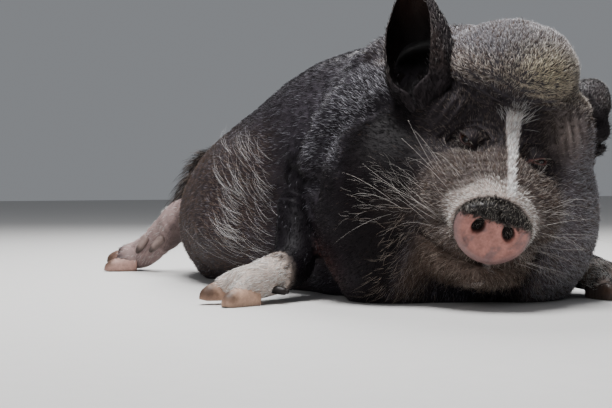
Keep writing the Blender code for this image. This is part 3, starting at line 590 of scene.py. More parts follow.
@functools.lru_cache(None)
def hide_forms():
    forms = trunk_forms() + neck_forms() + head_forms()
    creases = [fold(forms, [on_head(place) for place in BROW_FOLD], HEAD_AXES[0])]
    for side, strength in ((-1, 1.0), (1, LEFT_FOLDS)):
        neck = [(-side * x, y, z) for x, y, z in NECK_FOLD]
        jowl = [on_head(sided(place, -side)) for place in JOWL_FOLD]
        creases += [fold(forms, neck, (1, 0, 0), strength), fold(forms, jowl, (1, 0, 0), strength)]
    creases += cap_folds(forms + leg_forms())
    creases.append(fold(leg_forms(), HIND_CLEFT, (0, 0, 1), HIND_CLEFT_STRENGTH))
    cups = [head_ball(np.array(root) + unit(axis) * CUP_DEPTH, (CUP_RADIUS,) * 3, blend=0.010, carve=True)
            for root, axis, _ in EARS.values()]
    return forms + leg_forms() + creases + cups + [mouth_crease()]


def cap_folds(forms):
    """Arched folds over the right foreleg's root, one under the other."""
    x, y, top = CAP_PLACE
    turn = np.radians(np.linspace(-100, 100, 9))[:, None]
    arch = CAP_RADIUS * np.concatenate([-np.cos(turn), np.sin(turn), 0.30 * np.cos(turn)], 1)
    return [fold(forms, np.array([x, y, top - drop]) + arch, (0, 0, 1), strength)
            for drop, strength in CAP_FOLDS]


def mouth_crease():
    half = list(MOUTH_LINE)
    places = [sided(place, -1) for place in half[:0:-1]] + half
    return head_chain([(*place, 0.0022, 0.0066) for place in places], HEAD_AXES[2], steps=16, blend=0.004,
                      carve=True)


def eye_slits():
    """Flat lens forms that open the lids over each eye."""
    slits = []
    for side in (-1, 1):
        look = unit(np.array(sided(EYE_LOOK, side)))
        level = unit(np.cross((0, 0, 1), look))
        slant = math.radians(LID_SLANT[side]) * side
        along = level * math.cos(slant) + np.cross(look, level) * math.sin(slant)
        axes = np.array([along, np.cross(look, along), look]) @ HEAD_AXES
        centre = on_head(np.array(sided(EYE_PLACE, side)) + look * EYE_RADIUS)
        radii = (SLIT_HALF_LENGTH, SLIT_HALF_HEIGHT[side], EYE_RADIUS * 0.7)
        slits.append(Ball(centre, radii, axes, carve=True))
    return slits


# Where things are on the animal

def leg_share(points):
    """1 on the legs and 0 away from them."""
    near = np.full(len(points), 1.0)
    for form in leg_forms()[::3]:
        off = np.linalg.norm(points - form.middle, axis=1) < form.reach + 0.03
        if off.any():
            near[off] = np.minimum(near[off], form.distance(points[off]))
    return soft(near, 0.012, 0.001)


def foot_share(points, name, start, end):
    """0 to 1 from start to end along the leg's middle line, from its root at 0 to its end at 1."""
    form = leg_forms()[list(LEGS).index(name) * 3]
    gap = np.linalg.norm(points[:, None] - form.centre[None], axis=2)
    at = gap.argmin(1) / (len(form.centre) - 1) + 0.035 * waves(points, 0.025, 17, 2)
    return soft(at, start, end) * soft(gap.min(1), 0.075, 0.055)


def head_share(local):
    """1 on the head and 0 behind its folds."""
    return soft(np.linalg.norm(local * (0.8, 1.0, 0.9), axis=1), 0.285, 0.215) * soft(local[:, 0], -0.10, 0.0)


def eye_gap(local):
    """Distance from the middle of the nearer eye."""
    return np.minimum(*[np.linalg.norm(local - np.array(sided(EYE_PLACE, side)), axis=1) for side in (-1, 1)])


def lid_share(local):
    """1 on the lids of both eyes and 0 away from them."""
    return soft(eye_gap(local), 0.024, 0.0165)


def coat_depth(points):
    """How deep the coat lies over the hide: deep on the body, thin on the face and feet."""
    local = in_head(points)
    head = head_share(local)
    face = soft(local[:, 0], 0.03, 0.10) * head
    depth = COAT_DEPTH - HEAD_THINNER * head - FACE_THINNER * face
    depth -= LEG_THINNER * leg_share(points)
    depth *= 1 - lid_share(local)
    return np.maximum(depth * soft(points[:, 2], -0.002, 0.03), 0.0)


def wrinkles(height, phase, spacing, share):
    """Even wrinkles: height cos(2 pi phase / spacing), where their share lets them show."""
    return height * np.cos(2 * math.pi * phase / spacing) * share


def creases(points):
    """Height of the fine folds over the smooth hide: rings round the eyes, furrows and wrinkles."""
    local = in_head(points)
    f, l, u = local.T
    near_head = head_share(local)
    high = np.zeros(len(points))
    warp = waves(points, 0.05, 3, 2) * 0.004
    for side in (-1, 1):
        q = local - np.array(sided(EYE_PLACE, side))
        ring = np.sqrt((q[:, 0] * 0.8)**2 + (q[:, 1] * 0.8)**2 + (q[:, 2] * 1.25 + q[:, 1] * side * 0.35)**2)
        reach = np.exp(-((ring - 0.027) / 0.013)**2)
        high += wrinkles(0.0024 if side < 0 else 0.0018, ring + warp - 0.018, 0.0095, reach)
        middle = 0.036 if side < 0 else 0.058
        lobe = np.exp(-((q[:, 1] * side - 0.038) / 0.022)**2 - ((q[:, 2] - middle) / 0.028)**2)
        high += wrinkles(0.0028 if side < 0 else 0.0044, lobe_phase(local * (1, side, 1)), 1, lobe)
    furrow = soft(f, 0.02, 0.06) * np.exp(-((u - 0.112) / 0.022)**2) * soft(np.abs(l), 0.12, 0.08)
    high += wrinkles(0.0022, u + warp - 0.25 * np.abs(l), 0.0135, furrow)
    nose = soft(f, 0.090, 0.115) * soft(f, 0.192, 0.176) * soft(u, -0.10, -0.05)
    high += wrinkles(0.0011, f + 1.3 * warp + 0.2 * np.abs(l), 0.0095, nose)
    crown = soft(u, 0.125, 0.15) * near_head
    high += 0.0022 * waves(points * (1, 1, 0.6), 0.045, 5, 2) * crown
    cap = np.exp(-((points - np.array([-0.190, -0.205, 0.190])) ** 2).sum(1) / 0.045**2)
    high += wrinkles(0.0040, points[:, 2] + 0.35 * points[:, 0] + warp, 0.0125, cap)
    high += ear_ridges(local, warp)
    neck = soft(points[:, 1], -0.42, -0.34) * soft(points[:, 1], -0.10, -0.20) \
        * soft(points[:, 2], 0.05, 0.15)
    slant = points[:, 1] * 0.75 - points[:, 2] * 0.65
    high += 0.0016 * np.sin(2 * math.pi * (slant + 2.2 * warp) / 0.034) * neck * (1 - near_head)
    high += 0.0012 * waves(points, 0.11, 11, 2)
    wrist = foot_share(points, "foreleg_right", 0.60, 0.70)
    high += wrinkles(0.0010, points[:, 1] * 0.8 + points[:, 0] * 0.5 + warp, 0.011, wrist) \
        * soft(points[:, 2], 0.02, 0.05)
    hind = foot_share(points, "hindleg_right", 0.35, 0.50)
    high += wrinkles(0.0008, points[:, 1] * 0.75 - points[:, 2] * 0.55 + 2.5 * warp, 0.019, hind)
    high += 0.0013 * waves(points, 0.030, 13, 2) * hind
    return high * soft(points[:, 2], 0.004, 0.03) * (1 - lid_share(local))


def behind_snout(total, points):
    """The field cut off behind the snout's disc, with a soft edge."""
    front = 0.006 - snout_depth(in_head(points))
    close = np.maximum(0.008 - np.abs(total - front), 0.0) / 0.008
    return np.maximum(total, front) + close**2 * 0.002


def ear_ridges(local, warp=0.0):
    """Height of the slanting ridges where the ear's front edge runs into the forehead."""
    high = np.zeros(len(local))
    for side in (-1, 1):
        off = local - np.array((0.060, side * 0.106, 0.132))
        near = np.exp(-((off / (0.05, 0.028, 0.040))**2).sum(1))
        high += wrinkles(0.0017, local[:, 2] + side * local[:, 1] + warp, 0.0095, near)
    return high


def hide_field(points):
    total = blended(hide_forms(), points) + coat_depth(points) - creases(points)
    return behind_snout(total, points)


def slit_reach(points):
    """How far each point is from the middle of the nearer slit: 1 at the edge of its lens shape."""
    reach = []
    for slit in eye_slits():
        along, up, deep = ((points - slit.centre) @ slit.axes.T).T
        far = np.abs(deep) > 0.012
        bow = 1.05 - 0.25 * (along / slit.radii[0])**2
        reach.append(np.hypot(along / slit.radii[0], up / slit.radii[1] / bow) + 9.0 * far)
    return np.minimum(*reach)


def opened(points):
    """The points with each slit pushed in behind the front of its eye."""
    share = soft(slit_reach(points), 1.0, 0.72)
    for slit in eye_slits():
        near = np.linalg.norm(points - slit.centre, axis=1) < 0.03
        points = points - slit.axes[2] * (SLIT_PUSH * share * near)[:, None]
    return points


# Colours, the same for hide and coat

TONES = {
    # neck: paler hide on the neck, and on the roll behind the cheek partly a painted sheen
    "neck": (0.044, 0.040, 0.049),
    "crown": (0.056, 0.051, 0.057),
    "lobe": (0.180, 0.145, 0.134),
    "slate": (0.026, 0.022, 0.027),
    "flank": (0.030, 0.020, 0.020),
    # jowl: black hide, darkened further as painted shade under the ear and brow
    "jowl": (0.005, 0.0035, 0.0042),
    "face": (0.027, 0.022, 0.024),
    "leg": (0.003, 0.002, 0.003),
    # cup: painted shade on the hide in the hollow of each ear
    "cup": (0.0025, 0.0018, 0.0018),
    # fold: painted shade along the creases of the hide
    "fold": (0.005, 0.004, 0.005),
    # painted shade on the lower right hind foot, under the hock
    "hind_foot_shade": (0.040, 0.028, 0.027),
    "rim": (0.055, 0.032, 0.030),
    "rim_left": (0.210, 0.100, 0.090),
    "muzzle": (0.075, 0.059, 0.055),
    "ring": (0.330, 0.270, 0.240),
    "blaze": (0.500, 0.430, 0.400),
    "snout_top": (0.020, 0.016, 0.015),
    "chin": (0.110, 0.078, 0.062),
    "cheek": (0.100, 0.085, 0.092),
    "pink": (0.270, 0.195, 0.185),
    "pastern": (0.480, 0.390, 0.340),
    "pale_foot": (0.480, 0.390, 0.340),
    "belly": (0.130, 0.045, 0.032),
}
# How strongly each marking colours the hide, in the order in which they are laid on. Jowl, cup, fold, the
# grooves by the left eye and the hind foot's shade are partly or wholly painted shade, and the neck's roll is
# partly a painted sheen
TONE_STRENGTHS = {
    "flank": 0.5, "neck": 0.7, "jowl": 1.0, "face": 0.9, "cheek": 0.8, "crown": 0.8, "lobe": 0.9,
    "muzzle": 0.8, "chin": 0.8, "ring": 1.0, "blaze": 1.0, "snout_top": 1.0, "leg": 0.9, "cup": 1.0,
    "pink": 1.0, "hind_foot_shade": 0.75, "pastern": 1.0, "fold": 0.8, "rim": 0.8, "rim_left": 0.8, "pale_foot": 0.6,
    "belly": 0.9,
}
# Painted shade on the inner face of each ear's cup, deeper in the right ear than the left
CUP_SHADE_TONES = {"ear_right": (0.0050, 0.0035, 0.0035), "ear_left": (0.030, 0.020, 0.018)}
CLAW_TONES = {
    "foreleg_right": (0.42, 0.265, 0.19),
    "foreleg_left": (0.075, 0.055, 0.048),
    "hindleg_right": (0.34, 0.205, 0.17),
    "hindleg_left": (0.34, 0.205, 0.17),
}
CLAW_TIP_TONE = (0.075, 0.042, 0.028)
# Near-black dewclaws of the other three feet: painted shade, as they sit in shadow
DEW_TONES = ((0.012, 0.008, 0.007), (0.010, 0.007, 0.006))
LARGE_DEW_TONES = ((0.20, 0.145, 0.130), (0.055, 0.038, 0.033))
HAIRS = {
    "grey": (0.20, 0.195, 0.22),
    "silver": (0.36, 0.355, 0.385),
    "straw": (0.34, 0.305, 0.275),
    "white": (0.88, 0.86, 0.83),
    "black": (0.014, 0.012, 0.014),
    "soot": (0.004, 0.003, 0.004),
    "brown": (0.075, 0.050, 0.038),
    "fawn": (0.17, 0.135, 0.115),
}


def blaze_share(local):
    """The white strip down the nose, wide between the eyes and narrow towards the snout."""
    f, l, u = local.T
    half = np.interp(f, (0.079, 0.095, 0.133, 0.170), (0.0105, 0.0085, 0.0058, 0.0050))
    middle = np.interp(u, (0.0, 0.027, 0.054, 0.083), (0.011, 0.0085, 0.0080, 0.0035))
    strip = soft(np.abs(l - middle), half + 0.002, half - 0.001)
    return strip * soft(u, 0.100, 0.080) * soft(f, 0.055, 0.075)


def snout_depth(local):
    """Distance behind the snout's disc, along its own axis."""
    tilt = math.radians(SNOUT_TILT)
    return -((local - SNOUT_PLACE) @ np.array([math.cos(tilt), 0, -math.sin(tilt)]))


def cup_share(local):
    """1 inside the cup of either ear, where the hide and its coat are darkened as painted shade."""
    total = np.zeros(len(local))
    for name, (root, axis, _) in EARS.items():
        off = local - np.array(root)
        along = off @ unit(axis)
        away = np.linalg.norm(off - along[:, None] * unit(axis), axis=1)
        total = np.maximum(total, soft(away, 0.052, 0.044) * soft(along, -0.03, 0.01))
    return total


def roll_share(local):
    """1 on the silver roll of the neck behind the right cheek: grizzled hair, paler still as a painted sheen
    where the roll catches the light. Its front edge slants down and forward.
    """
    f, l, u = local.T
    edge = 0.016 - 0.60 * np.minimum(u, 0) + 0.30 * np.maximum(u - 0.05, 0) + 0.006 * waves(local, 0.02, 24)
    return soft(f, edge + 0.015, edge - 0.018) * soft(l, -0.14, -0.17) \
        * soft(u, -0.085, -0.045) * soft(f, -0.06, -0.03)


def crease_gap(points):
    """Distance from the nearest crease of the hide."""
    near = np.ones(len(points))
    for form in hide_forms():
        if form.carve and isinstance(form, Chain):
            close = np.linalg.norm(points - form.middle, axis=1) < form.reach + 0.035
            if close.any():
                near[close] = np.minimum(near[close], form.distance(points[close]))
    return near


def shares(points):
    """How far each marking covers each point, by name. Some of them lay painted shade or a painted sheen."""
    local = in_head(points)
    f, l, u = local.T
    head = head_share(local)
    behind = snout_depth(local)
    muzzle = soft(f, 0.095, 0.135) * head
    above = soft(u, -0.115, -0.085)
    ring = soft(behind, 0.007, 0.013) * soft(behind, 0.050, 0.024) * soft(u, -0.104, -0.062)
    gap = crease_gap(points)
    roll = roll_share(local)
    return {
        "head": head,
        "leg": leg_share(points),
        "face": soft(f, 0.020, 0.055) * soft(u, 0.118, 0.100) * soft(u, -0.03, 0.01) * head
        * soft(l, -0.135, -0.105) * soft(l, 0.105, 0.080),
        "crown": soft(u, 0.090, 0.132) * head * soft(f, -0.08, -0.02),
        "warm": soft(u, 0.172, 0.138),
        "lobe": np.exp(-((l - 0.086) / 0.027)**2 - ((u - 0.088) / 0.034)**2) * soft(f, 0.01, 0.04),
        "sunlit": np.exp(-((u - 0.155) / 0.038)**2 - ((l - 0.032) / 0.050)**2) * soft(f, -0.02, 0.02),
        # the jowl: black skin and hair, with painted shade under the ear and brow
        "jowl": soft(u, 0.095, 0.055) * soft(l, -0.085, -0.115) * soft(f, -0.040, -0.005) * head * (1 - roll),
        "cup": cup_share(local),
        # painted shade, darkest right in each crease
        "fold": soft(gap, 0.0050, 0.0010),
        # painted shade low on the right hind foot
        "hind_foot_shade": soft(points[:, 2] + points[:, 1] + 0.005 * waves(points, 0.03, 18, 2), 0.494, 0.470)
        * foot_share(points, "hindleg_right", 0.05, 0.2),
        "rim": soft(slit_reach(points), 1.30, 1.02),
        "rim_left": soft(slit_reach(points), 1.70, 1.10) * soft(l, 0.0, 0.01),
        "cheek": soft(u, 0.125, 0.09) * soft(l, 0.08, 0.105) * head,
        "muzzle": muzzle * soft(u, 0.06, 0.02) * above,
        "ring": ring * head,
        "blaze": blaze_share(local) * soft(behind, 0.014, 0.022),
        "snout_top": soft(behind, 0.012, 0.007) * soft(f, 0.14, 0.17) * soft(u, -0.118, -0.106),
        "chin": soft(u, -0.085, -0.115) * soft(f, 0.05, 0.10) * soft(np.abs(l), 0.105, 0.065) * head,
        "pastern": foot_share(points, "foreleg_right", 0.66, 0.82) * soft(points[:, 0], -0.234, -0.254),
        "pink": np.maximum(foot_share(points, "hindleg_right", 0.10, 0.24),
                           foot_share(points, "hindleg_left", 0.62, 0.80))
        * (0.15 + 0.85 * leg_share(points)),
        "pale_foot": foot_share(points, "foreleg_left", 0.80, 0.92),
        "belly": np.exp(-((points - np.array([-0.205, -0.268, 0.045]))**2).sum(1) / 0.040**2)
        * (1 - leg_share(points)),
        # silver neck, and the roll, whose grizzle is partly a painted sheen
        "neck": np.maximum(0.50 * soft(points[:, 1] + 0.035 * waves(points, 0.06, 23, 2), -0.10, -0.26)
                           * (1 - head), 0.85 * roll),
        # low: fewer pale hairs low on the neck, painted shade
        "low": soft(points[:, 1], -0.15, -0.22) * soft(points[:, 2], 0.31, 0.23) * (1 - 0.8 * roll),
        "flank": soft(points[:, 2], 0.30, 0.20) * soft(points[:, 1], -0.16, -0.06),
        "rump": soft(points[:, 1], 0.24, 0.34),
    }


def lobe_phase(local):
    """Turns across the upright ridges beside the left eye."""
    return (local[:, 1] - EYE_PLACE[1] + 0.4 * (local[:, 2] - EYE_PLACE[2])) / 0.014


def hide_tones(points):
    """Colour of the bare hide, with painted shade in the creases, ear hollows, jowls, grooves by the left eye
    and on the hind foot, and a painted sheen on the neck roll.
    """
    share = shares(points)
    tone = np.tile(np.array(TONES["slate"]), (len(points), 1))
    tone *= (1 + 0.30 * waves(points, 0.09, 21))[:, None]
    for name, strength in TONE_STRENGTHS.items():
        tone = mixed(tone, TONES[name], share[name] * strength)
    # Painted shade in the grooves between the upright ridges beside the left eye
    groove = np.cos(2 * math.pi * lobe_phase(in_head(points)))
    tone *= 1 - (0.65 * share["lobe"] * soft(groove, 0.2, -0.7))[:, None]
    return np.clip(tone * (1 + 0.12 * waves(points, 0.02, 22))[:, None], 0.002, 1)


# Materials

def new_material(name):
    made = bpy.data.materials.new(name)
    made.use_nodes = True
    tree = made.node_tree
    return made, tree, tree.nodes["Principled BSDF"]


def node(tree, kind, **values):
    made = tree.nodes.new(kind)
    for name, value in values.items():
        if name in made.inputs:
            made.inputs[name].default_value = value
        else:
            setattr(made, name, value)
    return made


def bump_of(tree, shader, layers):
    """Chains bumps on to the shader: each layer is a height output, a strength and a distance."""
    last = None
    for height, strength, distance in layers:
        step = node(tree, "ShaderNodeBump", Strength=strength, Distance=distance)
        tree.links.new(height, step.inputs["Height"])
        if last:
            tree.links.new(last, step.inputs["Normal"])
        last = step.outputs["Normal"]
    tree.links.new(last, shader.inputs["Normal"])


def noise_on(tree, place, scale, detail=4.0, roughness=0.6, distortion=0.0):
    made = node(tree, "ShaderNodeTexNoise", Scale=scale, Detail=detail, Roughness=roughness,
                Distortion=distortion)
    tree.links.new(place, made.inputs["Vector"])
    return made.outputs["Fac"]


def tinted(tree, colour, factor, low, high):
    """The colour times a number that runs from low to high with the factor."""
    ramp = node(tree, "ShaderNodeMapRange")
    ramp.inputs["To Min"].default_value = low
    ramp.inputs["To Max"].default_value = high
    tree.links.new(factor, ramp.inputs["Value"])
    mix = node(tree, "ShaderNodeMix", data_type="RGBA", blend_type="MULTIPLY")
    mix.inputs["Factor"].default_value = 1.0
    tree.links.new(colour, mix.inputs["A"])
    tree.links.new(ramp.outputs["Result"], mix.inputs["B"])
    return mix.outputs["Result"]


@functools.lru_cache(None)
def skin_material(name, attribute, roughness, grain, shine=0.07, coat=0.0):
    """Skin in the painted tones, mottled, with pores, fine creases and a little shine."""
    made, tree, shader = new_material(name)
    place = node(tree, "ShaderNodeTexCoord").outputs["Object"]
    tone = node(tree, "ShaderNodeAttribute", attribute_name=attribute).outputs["Color"]
    mottle = noise_on(tree, place, 55.0, 6.0, 0.65)
    fine = noise_on(tree, place, 420.0, 3.0, 0.6)
    colour = tinted(tree, tone, mottle, 0.55, 1.45)
    colour = tinted(tree, colour, fine, 0.75, 1.25)
    tree.links.new(colour, shader.inputs["Base Color"])
    shader.inputs["Roughness"].default_value = roughness
    shader.inputs["Specular IOR Level"].default_value = shine
    shader.inputs["Coat Weight"].default_value = coat
    shader.inputs["Coat Roughness"].default_value = 0.35
    cells = node(tree, "ShaderNodeTexVoronoi", feature="DISTANCE_TO_EDGE", Scale=grain)
    tree.links.new(place, cells.inputs["Vector"])
    bump_of(tree, shader, [
        (cells.outputs["Distance"], 0.35, 0.0012),
        (mottle, 0.35, 0.0020),
        (fine, 0.25, 0.0006),
    ])
    return made


@functools.lru_cache(None)
def hair_material():
    """Hair in the colours kept on its points, paler and darker from clump to clump."""
    made, tree, shader = new_material("pig_hair")
    tone = node(tree, "ShaderNodeAttribute", attribute_name="hair_tone").outputs["Color"]
    place = node(tree, "ShaderNodeTexCoord").outputs["Object"]
    clump = noise_on(tree, place, 90.0, 2.0, 0.5)
    tree.links.new(tinted(tree, tone, clump, 0.70, 1.30), shader.inputs["Base Color"])
    shader.inputs["Roughness"].default_value = 0.50
    shader.inputs["Specular IOR Level"].default_value = 0.09
    return made


@functools.lru_cache(None)
def eye_material():
    """Wet dark brown eye: a darker pupil ring pattern under a clear coat."""
    made, tree, shader = new_material("wet_eye")
    tone = node(tree, "ShaderNodeAttribute", attribute_name="tone").outputs["Color"]
    place = node(tree, "ShaderNodeTexCoord").outputs["Object"]
    streak = noise_on(tree, place, 900.0, 3.0, 0.6)
    tree.links.new(tinted(tree, tone, streak, 0.6, 1.4), shader.inputs["Base Color"])
    shader.inputs["Roughness"].default_value = 0.12
    shader.inputs["Specular IOR Level"].default_value = 0.15
    shader.inputs["Coat Weight"].default_value = 0.40
    shader.inputs["Coat Roughness"].default_value = 0.03
    return made


@functools.lru_cache(None)
def horn_material():
    """Claw horn: the painted tone with growth lines along the claw and scuffs."""
    made, tree, shader = new_material("claw_horn_worn")
    tone = node(tree, "ShaderNodeAttribute", attribute_name="tone").outputs["Color"]
    place = node(tree, "ShaderNodeTexCoord").outputs["Object"]
    scuff = noise_on(tree, place, 140.0, 5.0, 0.7)
    lines = noise_on(tree, place, 320.0, 2.0, 0.5, 1.5)
    colour = tinted(tree, tone, scuff, 0.45, 1.5)
    tree.links.new(tinted(tree, colour, lines, 0.8, 1.2), shader.inputs["Base Color"])
    shader.inputs["Roughness"].default_value = 0.52
    shader.inputs["Specular IOR Level"].default_value = 0.28
    bump_of(tree, shader, [(scuff, 0.4, 0.0010), (lines, 0.3, 0.0004)])
    return made


# Pieces of the body

def make_hide():
    """One skin over trunk, neck, head and legs: the forms' surfaces are fused, then drawn on to the blend."""
    shape = bmesh.new()
    for form in hide_forms():
        if not form.carve:
            points, quads, ends = form.surface()
            piece = new_mesh("piece", points, quads, ends)
            shape.from_mesh(piece)
            bpy.data.meshes.remove(piece)
    bmesh.ops.recalc_face_normals(shape, faces=shape.faces)
    mesh = bpy.data.meshes.new("hide")
    shape.to_mesh(mesh)
    shape.free()
    obj = bpy.data.objects.new("hide_draft", mesh)
    bpy.context.scene.collection.objects.link(obj)
    size = bpy.context.scene.pig_skin.voxel
    remesh = obj.modifiers.new("fuse", "REMESH")
    remesh.mode = "VOXEL"
    remesh.voxel_size = size
    mesh = applied(obj)
    for _ in range(3):
        relax(mesh, functools.partial(blended, hide_forms()), size)
    shape = bmesh.new()
    shape.from_mesh(mesh)
    for chosen in (on_face, lambda local: eye_gap(local) < 0.030, lambda local: eye_gap(local) < 0.021):
        inside = chosen(in_head(np.array([v.co for v in shape.verts])))
        shape.verts.ensure_lookup_table()
        edges = [e for e in shape.edges if inside[e.verts[0].index] and inside[e.verts[1].index]]
        bmesh.ops.subdivide_edges(shape, edges=edges, cuts=1, use_grid_fill=True)
        shape.verts.index_update()
    bmesh.ops.triangulate(shape, faces=[f for f in shape.faces if len(f.verts) > 4])
    shape.to_mesh(mesh)
    shape.free()
    relax(mesh, hide_field, size * 0.6, soften=1)
    points = read_points(mesh)
    for _ in range(2):
        points, _ = drawn(hide_field, points, 0.004)
    points = opened(points)
    points[:, 2] = np.maximum(points[:, 2], 0.0)
    move_points(mesh, points)
    mesh.shade_smooth()
    return mesh


def on_face(local):
    """Whether each point lies on the front of the head, where the skin's faces are cut finer."""
    f, l, u = local.T
    return (f > 0.035) & (np.abs(l) < 0.135) & (u > -0.15) & (u < 0.13)


def move_points(mesh, points):
    """Puts the mesh's points at new places."""
    mesh.vertices.foreach_set("co", points.astype(np.float32).ravel())
    mesh.update()


def applied(obj):
    """The object's mesh with its modifiers applied. The object itself goes."""
    graph = bpy.context.evaluated_depsgraph_get()
    mesh = bpy.data.meshes.new_from_object(obj.evaluated_get(graph))
    bpy.data.objects.remove(obj)
    return mesh


def relax(mesh, field, reach, soften=2):
    """Draws the mesh on to the field, then evens out its points, each to the mean of its neighbours."""
    points, _ = drawn(field, read_points(mesh), reach)
    ends = np.empty(len(mesh.edges) * 2, np.int32)
    mesh.edges.foreach_get("vertices", ends)
    a, b = ends.reshape(-1, 2).T
    count = np.bincount(a, minlength=len(points)) + np.bincount(b, minlength=len(points))
    for _ in range(soften):
        sums = [np.bincount(a, row[b], len(row)) + np.bincount(b, row[a], len(row)) for row in points.T]
        total = np.stack(sums, 1)
        points = points * 0.5 + total / np.maximum(count, 1)[:, None] * 0.5
    move_points(mesh, points)


def ear_surface(name, rows=56, columns=40):
    """Outer and inner skins of an ear: a shell bent round its axis, wide in the middle, pointed at its tip.

    Returns both as grids (rows, columns, 3), the share along the ear and the turn round it.
    """
    root, axis, opening = (np.array(row, float) for row in EARS[name])
    axis = unit(axis)
    opening = unit(opening - axis * (opening @ axis))
    across = np.cross(axis, opening)
    reach_in = np.linspace(-0.16, 1, rows)
    along = np.maximum(reach_in, 0)
    radius = EAR_RADIUS * (0.80 + 0.62 * along - 1.36 * along**2.2) - 0.0015
    radius *= np.interp(reach_in, (-0.16, 0.04), (0.62, 1.0))
    wrap = np.radians(146 - 46 * along**1.2 + 31 * soft(along, 0.16, 0.0))
    share = np.linspace(-1, 1, columns)
    turn = share[None] * wrap[:, None]
    middle = root + axis * (reach_in * EAR_LENGTH)[:, None] - opening * (0.012 * along**2)[:, None]
    thick = 0.0046 * (1 - 0.55 * along)[:, None] * np.sqrt(np.maximum(1 - share**8, 0.05))[None]
    ripple = 0.0016 * np.cos(turn * 9 + 5 * along[:, None]) * np.exp(-(along / 0.35)**2)[:, None]
    curl = 0.0040 * np.maximum(np.abs(share) - 0.75, 0)[None] * 4 * (1 - along)[:, None]
    vein = 0.0007 * np.sin(turn * 6 + 14 * along[:, None] + np.sin(along * 20)[:, None])

    def shell(offset):
        reach = np.maximum(radius[:, None] + offset + curl, 0.0009)[..., None]
        spoke = -np.cos(turn)[..., None] * opening + np.sin(turn)[..., None] * across
        return middle[:, None] + spoke * reach

    return shell(thick / 2 + ripple + vein), shell(-thick / 2 + ripple * 0.5 + vein), along, share


def make_ear(name):
    outer, inner, along, share = ear_surface(name)
    rings = np.concatenate([outer, inner[:, ::-1]], 1)
    rows, sides, _ = rings.shape
    columns = sides // 2
    points = HEAD_ORIGIN + rings.reshape(-1, 3) @ HEAD_AXES
    quads = tube_faces(rows, sides)
    j = np.arange(columns - 1)
    ends = []
    for start, flip in ((0, False), ((rows - 1) * sides, True)):
        cap = np.stack([start + j, start + j + 1, start + sides - 2 - j, start + sides - 1 - j], -1)
        ends.append(cap[:, ::-1] if flip else cap)
    mesh = outward(new_mesh(name, points, np.concatenate([quads] + ends)))
    points = read_points(mesh)
    points += read_normals(mesh) * ear_ridges(in_head(points))[:, None] * 1.1
    move_points(mesh, points)
    local = in_head(points)
    root = np.array(EARS[name][0])
    axis = unit(np.array(EARS[name][1]))
    high = (local - root) @ axis / EAR_LENGTH
    toward = read_normals(mesh)
    opening = np.array(EARS[name][2]) @ HEAD_AXES
    away = (points - HEAD_ORIGIN) @ HEAD_AXES.T - root - axis * ((local - root) @ axis)[:, None]
    inside = soft((toward @ HEAD_AXES.T * unit(away)).sum(1), 0.2, -0.2)
    front = soft(away @ np.array(EARS[name][2]), 0.0, 0.030)
    tone = mixed(filled(TONES["face"], len(points)), (0.028, 0.020, 0.018),
                 soft(high, 0.05, 0.25) * front * 0.9)
    # The inner face of the ear darkened as painted shade in its hollow
    tone = mixed(tone, CUP_SHADE_TONES[name], inside)
    tone = mixed(tone, (0.045, 0.024, 0.018), inside * soft(high, 0.5, 1.0) * 0.5)
    paint(mesh, "tone", tone)
    return mesh


def snout_frame():
    tilt = math.radians(SNOUT_TILT)
    out = HEAD_AXES[0] * math.cos(tilt) - HEAD_AXES[2] * math.sin(tilt)
    up = HEAD_AXES[0] * math.sin(tilt) + HEAD_AXES[2] * math.cos(tilt)
    return on_head(SNOUT_PLACE), out, HEAD_AXES[1], up


